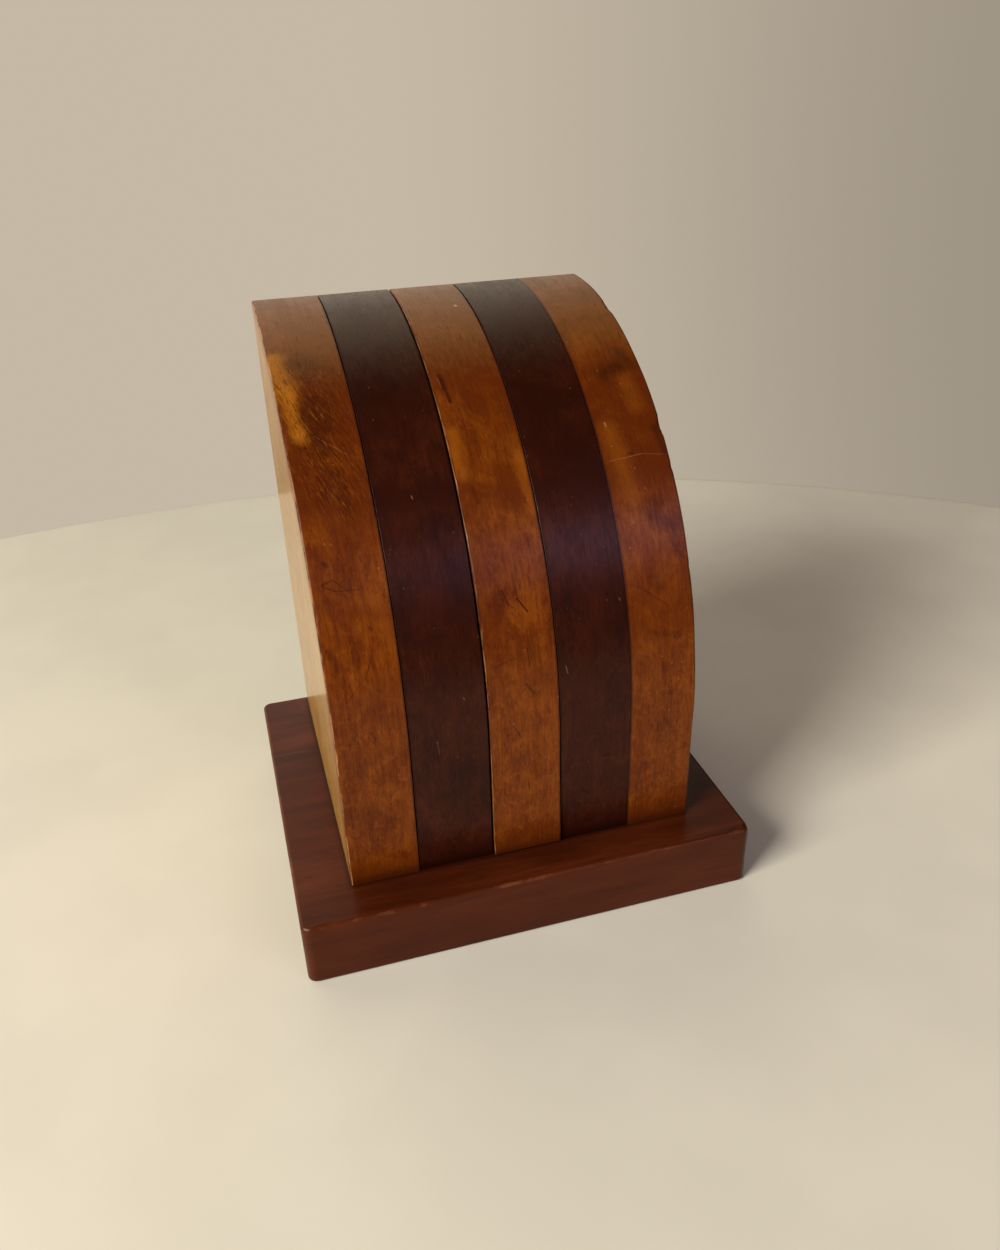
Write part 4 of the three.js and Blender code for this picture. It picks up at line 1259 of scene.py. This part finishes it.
def make_plinth():
    loop = plinth_loop()
    columns = []
    distance = 0
    for index, (x, y, nx, ny) in enumerate(loop):
        if index:
            distance += math.dist(loop[index - 1][:2], (x, y))
        column = []
        for reach, z, rise in plinth_section(plinth_ease(x, y, distance)):
            reach += 0.03 * MM * (1 + noise.noise(Vector((x * 60, y * 60, rise * 2))))
            column.append((x - nx * reach, y - ny * reach, z))
        columns.append(column)
    plinth = loft("plinth_board", list(zip(*columns)), plinth_material())
    plinth.data.materials.append(BARE["plinth"])
    plinth.data.polygons[len(plinth.data.polygons) - 2].material_index = 1
    face_outwards(plinth)
    profile = [(-1 * MM, 4.5 * MM), (0.9 * MM, 4.5 * MM), (3.0 * MM, 2.35 * MM), (DECK_Z + 1 * MM, 2.35 * MM)]
    cutters = []
    for number in SCREWED_SLICES:
        x = middle_of(f"plinth_screw_{number}_front")[0]
        cutters += [upward_hole(x, y, profile, BARE["plinth"]) for y in screw_rows()]
    carve(plinth, cutters)
    finish_piece(plinth, "plinth", "base")


def threaded(name, profile, pitch, thread, axis, origin, material):
    """A turned body whose part marked as threaded carries a helical thread. profile is
    (distance along the axis, radius, thread share)."""
    sides = 28
    direction = Vector(axis).normalized()
    side = direction.orthogonal().normalized()
    up = direction.cross(side)
    rings = []
    for index, (along, radius, share) in enumerate(profile):
        steps = 1
        if index and share and profile[index - 1][2]:
            steps = math.ceil((along - profile[index - 1][0]) / (pitch / 6))
        start = profile[index - 1] if index else profile[0]
        for step in range(1, steps + 1):
            f = step / steps
            place = start[0] + (along - start[0]) * f
            size = start[1] + (radius - start[1]) * f
            depth = thread * (start[2] + (share - start[2]) * f)
            ring = []
            for i in range(sides):
                angle = 2 * math.pi * i / sides
                phase = (place / pitch - i / sides) % 1
                cut_in = depth * abs(2 * phase - 1) ** 0.7
                reach = max(0.02 * MM, size - cut_in)
                centre = Vector(origin) + direction * place
                ring.append(centre + (side * math.cos(angle) + up * math.sin(angle)) * reach)
            rings.append(ring)
    return face_outwards(loft(name, rings, material))


def make_wood_screws():
    """Countersunk slotted wood screws, up through the plinth."""
    for number in SCREWED_SLICES:
        for row in ("front", "back"):
            name = f"plinth_screw_{number}_{row}"
            low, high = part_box(name)
            x, y, _ = middle_of(name)
            length = high.z - low.z
            profile = [
                (0.0, 3.9 * MM, 0),
                (0.1 * MM, 4.1 * MM, 0),
                (0.35 * MM, 4.1 * MM, 0),
                (2.35 * MM, 2.1 * MM, 0),
                (length * 0.40, 2.1 * MM, 0),
                (length * 0.42, 2.1 * MM, 1),
                (length * 0.80, 2.05 * MM, 1),
                (length * 0.99, 0.5 * MM, 0.4),
                (length, 0.1 * MM, 0),
            ]
            foot = (x, y, low.z)
            screw = threaded(f"{name}_steel", profile, 1.8 * MM, 0.55 * MM, (0, 0, 1), foot, STEEL)
            turn = 0.4 + number * 1.3 + (row == "back") * 0.9
            slot = ((-6 * MM, -0.55 * MM, -1 * MM), (6 * MM, 0.55 * MM, 1.1 * MM))
            cut_slot(screw, *slot, [(0, 0, turn)], foot, STEEL)
            finish_piece(screw, name, "base")


def make_round_brass():
    """Axle, bushes, washers and stop pins, turned with broken edges."""

    def solid_bar(name, body):
        low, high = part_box(name)
        radius = (high.z - low.z) / 2
        length = high.x - low.x
        profile = [(0, radius * 0.1), (0, radius - 0.5 * MM)]
        profile += [(0.12 * MM, radius - 0.2 * MM), (0.5 * MM, radius)]
        profile += [(length - along, size) for along, size in reversed(profile)]
        _, y, z = middle_of(name)
        bar = turned(f"{name}_brass", profile, (1, 0, 0), (low.x, y, z), BRASS, 64)
        finish_piece(face_outwards(bar), name, body)

    def ring(name, body):
        low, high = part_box(name)
        bore = BORE_RADIUS
        outer = (high.z - low.z) / 2
        length = high.x - low.x
        ease = min(0.25 * MM, length / 4)
        profile = [
            (0, bore + ease), (0, outer - ease), (ease * 0.3, outer - ease * 0.3), (ease, outer),
            (length - ease, outer), (length - ease * 0.3, outer - ease * 0.3), (length, outer - ease),
            (length, bore + ease), (length - ease, bore), (ease, bore),
        ]
        closed_ring(f"{name}_brass", profile, low.x, BRASS, name, body)

    solid_bar("axle", "base")
    solid_bar("stop_pin_2", "base")
    solid_bar("stop_pin_3", "base")
    ring("bush_2", "swing_2")
    ring("bush_3", "swing_3")
    for name in ("washer_1_2", "washer_2_3", "washer_3_4"):
        ring(name, "base")


def closed_ring(piece_name, section, x, material, node, body):
    """A ring about the axle with a closed section, given as (distance along X, radius)."""
    sides = 72
    verts = []
    for i in range(sides):
        angle = 2 * math.pi * i / sides
        for along, radius in section:
            verts.append((x + along, AXLE_Y + radius * math.cos(angle), AXLE_Z + radius * math.sin(angle)))
    count = len(section)
    faces = []
    for i in range(sides):
        j = (i + 1) % sides
        for k in range(count):
            m = (k + 1) % count
            faces.append((i * count + k, j * count + k, j * count + m, i * count + m))
    finish_piece(face_outwards(make_object(piece_name, verts, faces, material)), node, body)


def strip_ring(y, lift, back_x, towards, half_width, middle_z):
    """One cross-section of the detent strip, lifted off its recess, with eased long edges."""
    thickness = 0.6 * MM
    ease = 0.12 * MM
    lower, upper = max(0.0, lift - thickness), thickness + lift
    section = (
        (lower, ease - half_width),
        (lower + ease, -half_width),
        (upper - ease, -half_width),
        (upper, ease - half_width),
        (upper, half_width - ease),
        (upper - ease, half_width),
        (lower + ease, half_width),
        (lower, half_width - ease),
    )
    return [(back_x + towards * off, y, middle_z + side) for off, side in section]


def make_detent_strip(swinging, outward):
    """A formed strip spring: flat, with one round bump and rounded ends."""
    name = f"detent_spring_{swinging}"
    low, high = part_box(name)
    towards = -outward
    back_x = low.x if towards > 0 else high.x
    bump_y = DETENT_PLACE[0]
    middle_z = (low.z + high.z) / 2
    half = (high.z - low.z) / 2
    rings = []
    for i in range(121):
        y = low.y + (high.y - low.y) * i / 120
        lift = math.sqrt(max(0, DETENT_BUMP_RADIUS**2 - (y - bump_y) ** 2))
        from_end = min(y - low.y, high.y - y)
        half_width = half - max(0, 1.2 * MM - from_end) ** 2 / (2.4 * MM)
        rings.append(strip_ring(y, lift, back_x, towards, half_width, middle_z))
    strip = face_outwards(loft(f"{name}_strip", rings, STRIP_BRASS))
    finish_piece(strip, name, "base")
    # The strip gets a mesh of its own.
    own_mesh(strip)


def make_detents():
    """Strip springs, each held by two slotted round-head screws."""
    for swinging, outward in SWING_SIDES.items():
        make_detent_strip(swinging, outward)
        for row in ("outer", "inner"):
            name = f"detent_screw_{swinging}_{row}"
            low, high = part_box(name)
            length = high.x - low.x
            _, y, z = middle_of(name)
            head = (low.x if outward > 0 else high.x, y, z)
            profile = [
                (0, 0.25 * MM, 0),
                (0.05 * MM, 0.9 * MM, 0),
                (0.25 * MM, 1.5 * MM, 0),
                (0.55 * MM, 1.85 * MM, 0),
                (0.85 * MM, 2.0 * MM, 0),
                (0.9 * MM, 1.95 * MM, 0),
                (0.9 * MM, 1.0 * MM, 0),
                (2.2 * MM, 1.0 * MM, 1),
                (length - 1.6 * MM, 1.0 * MM, 1),
                (length, 0.1 * MM, 0),
            ]
            screw = threaded(f"{name}_brass", profile, 0.9 * MM, 0.25 * MM, (outward, 0, 0), head, BRASS)
            slot = ((-0.6 * MM, -3 * MM, -0.22 * MM), (0.45 * MM, 3 * MM, 0.22 * MM))
            turns = [(0, 0, math.pi)] if outward < 0 else []
            turns.append((0.5 + swinging * (row == "outer"), 0, 0))
            cut_slot(screw, *slot, turns, head, BRASS)
            finish_piece(screw, name, "base")


def make_dowels():
    """Fluted beech dowels across the glued joint."""
    flutes = 14
    sides = flutes * 6
    for name in ("dowel_lower", "dowel_upper"):
        low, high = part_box(name)
        length = high.x - low.x
        _, y, z = middle_of(name)
        radius = (high.z - low.z) / 2
        rings = []
        steps = [(0, 0.78), (0.3, 0.86), (0.8, 1.0), (4, 1.0), (9, 1.0), (14, 1.0)]
        steps += [(length / MM - 0.8, 1.0), (length / MM - 0.3, 0.86), (length / MM, 0.78)]
        for along, share in steps:
            ring = []
            for i in range(sides):
                angle = 2 * math.pi * i / sides
                groove = 0.22 * MM * max(0, math.cos(flutes * angle)) ** 3
                reach = radius * share - groove
                ring.append((low.x + along * MM, y + reach * math.cos(angle), z + reach * math.sin(angle)))
            rings.append(ring)
        finish_piece(face_outwards(loft(f"{name}_beech", rings, BEECH)), name, "base")


# ---- Floor, light and camera ----


def stage_material(name, colour, spread):
    shader = Shader(name)
    weave = shader.noise(shader.stretched((18, 18, 18)), 3.0, 0.5)
    tone = shader.mix(shader.remap(weave, 0.35, 0.65), tuple(c * (1 - spread) for c in colour), colour)
    shader.set(Base_Color=tone, Roughness=0.9, Specular_IOR_Level=0.2)
    return shader.material


def make_floor():
    """A pale round floor with a softly rounded rim."""
    edge = 0.02
    profile = [(FLOOR_RADIUS * share, 0.0) for share in (0.2, 0.6, 0.9, 1.0)]
    for i in range(1, 9):
        angle = math.pi / 2 * i / 8
        profile.append((FLOOR_RADIUS + edge * math.sin(angle), edge * (math.cos(angle) - 1)))
    sides = 128
    verts = []
    for radius, height in profile:
        for i in range(sides):
            angle = 2 * math.pi * i / sides
            x = FLOOR_CENTRE[0] + radius * math.cos(angle)
            y = FLOOR_CENTRE[1] + radius * math.sin(angle)
            verts.append((x, y, height))
    faces = [tuple(range(sides))]
    for row in range(len(profile) - 1):
        for i in range(sides):
            j = (i + 1) % sides
            faces.append((row * sides + i, (row + 1) * sides + i, (row + 1) * sides + j, row * sides + j))
    floor = make_object("floor", verts, faces, stage_material("pale_floor", (0.70, 0.672, 0.575), 0.05))
    floor.data.shade_smooth()


def area_light(name, place, target, size, power, colour):
    data = bpy.data.lights.new(name, "AREA")
    data.shape = "RECTANGLE"
    data.size, data.size_y = size
    data.energy = power
    data.color = colour
    light = bpy.data.objects.new(name, data)
    light.location = place
    light.rotation_euler = (Vector(target) - Vector(place)).to_track_quat("-Z", "Y").to_euler()
    bpy.context.scene.collection.objects.link(light)


def make_lights():
    middle = (0, 0, 0.08)
    area_light("window_left", (-1.25, -0.62, 0.86), middle, (0.7, 0.7), 37, (1.0, 0.945, 0.835))
    area_light("window_front", (0.72, -1.16, 0.86), middle, (0.8, 0.42), 3.7, (0.80, 0.66, 1.0))
    bpy.context.scene.view_settings.view_transform = "Standard"


def make_world():
    """A room whose wall is pale behind the object and to its left, and dim in front of it."""
    world = bpy.data.worlds.new("room")
    world.use_nodes = True
    nodes, links = world.node_tree.nodes, world.node_tree.links

    def smooth_range(value, from_min, from_max, to_min, to_max):
        node = nodes.new("ShaderNodeMapRange")
        node.interpolation_type = "SMOOTHSTEP"
        node.inputs["From Min"].default_value = from_min
        node.inputs["From Max"].default_value = from_max
        node.inputs["To Min"].default_value = to_min
        node.inputs["To Max"].default_value = to_max
        links.new(value, node.inputs["Value"])
        return node.outputs["Result"]

    direction = nodes.new("ShaderNodeTexCoord").outputs["Generated"]
    parts = nodes.new("ShaderNodeSeparateXYZ")
    links.new(direction, parts.inputs[0])
    towards = nodes.new("ShaderNodeVectorMath")
    towards.operation = "DOT_PRODUCT"
    towards.inputs[1].default_value = Vector((-0.30, 0.88, 0.38)).normalized()
    links.new(direction, towards.inputs[0])
    # The pale wall, in shade below the floor's far edge.
    room = nodes.new("ShaderNodeMath")
    room.operation = "MULTIPLY"
    links.new(smooth_range(towards.outputs["Value"], 0.62, 0.86, 0.04, 1.25), room.inputs[0])
    links.new(smooth_range(parts.outputs["Z"], -0.25, 0.12, 0.5, 1.0), room.inputs[1])
    # What the camera sees directly is a plain wall, dimmer to the right.
    wall = smooth_range(parts.outputs["X"], 0.15, 0.75, 0.56, 0.33)
    path = nodes.new("ShaderNodeLightPath")
    seen = nodes.new("ShaderNodeMix")
    links.new(path.outputs["Is Camera Ray"], seen.inputs["Factor"])
    links.new(room.outputs["Value"], seen.inputs["A"])
    links.new(wall, seen.inputs["B"])
    background = nodes["Background"]
    background.inputs["Color"].default_value = (1.0, 0.86, 0.67, 1)
    links.new(seen.outputs["Result"], background.inputs["Strength"])
    bpy.context.scene.world = world


def make_camera():
    data = bpy.data.cameras.new("camera")
    data.lens = 29.31
    data.sensor_width = 36
    camera = bpy.data.objects.new("camera", data)
    camera.location = (-0.06318, -0.25171, 0.21069)
    camera.rotation_euler = Euler([math.radians(a) for a in (61.043, 1.585, -16.447)])
    bpy.context.scene.collection.objects.link(camera)
    bpy.context.scene.camera = camera


make_plinth()
make_slices()
make_wood_screws()
make_round_brass()
make_detents()
make_dowels()
make_floor()
make_lights()
make_world()
make_camera()
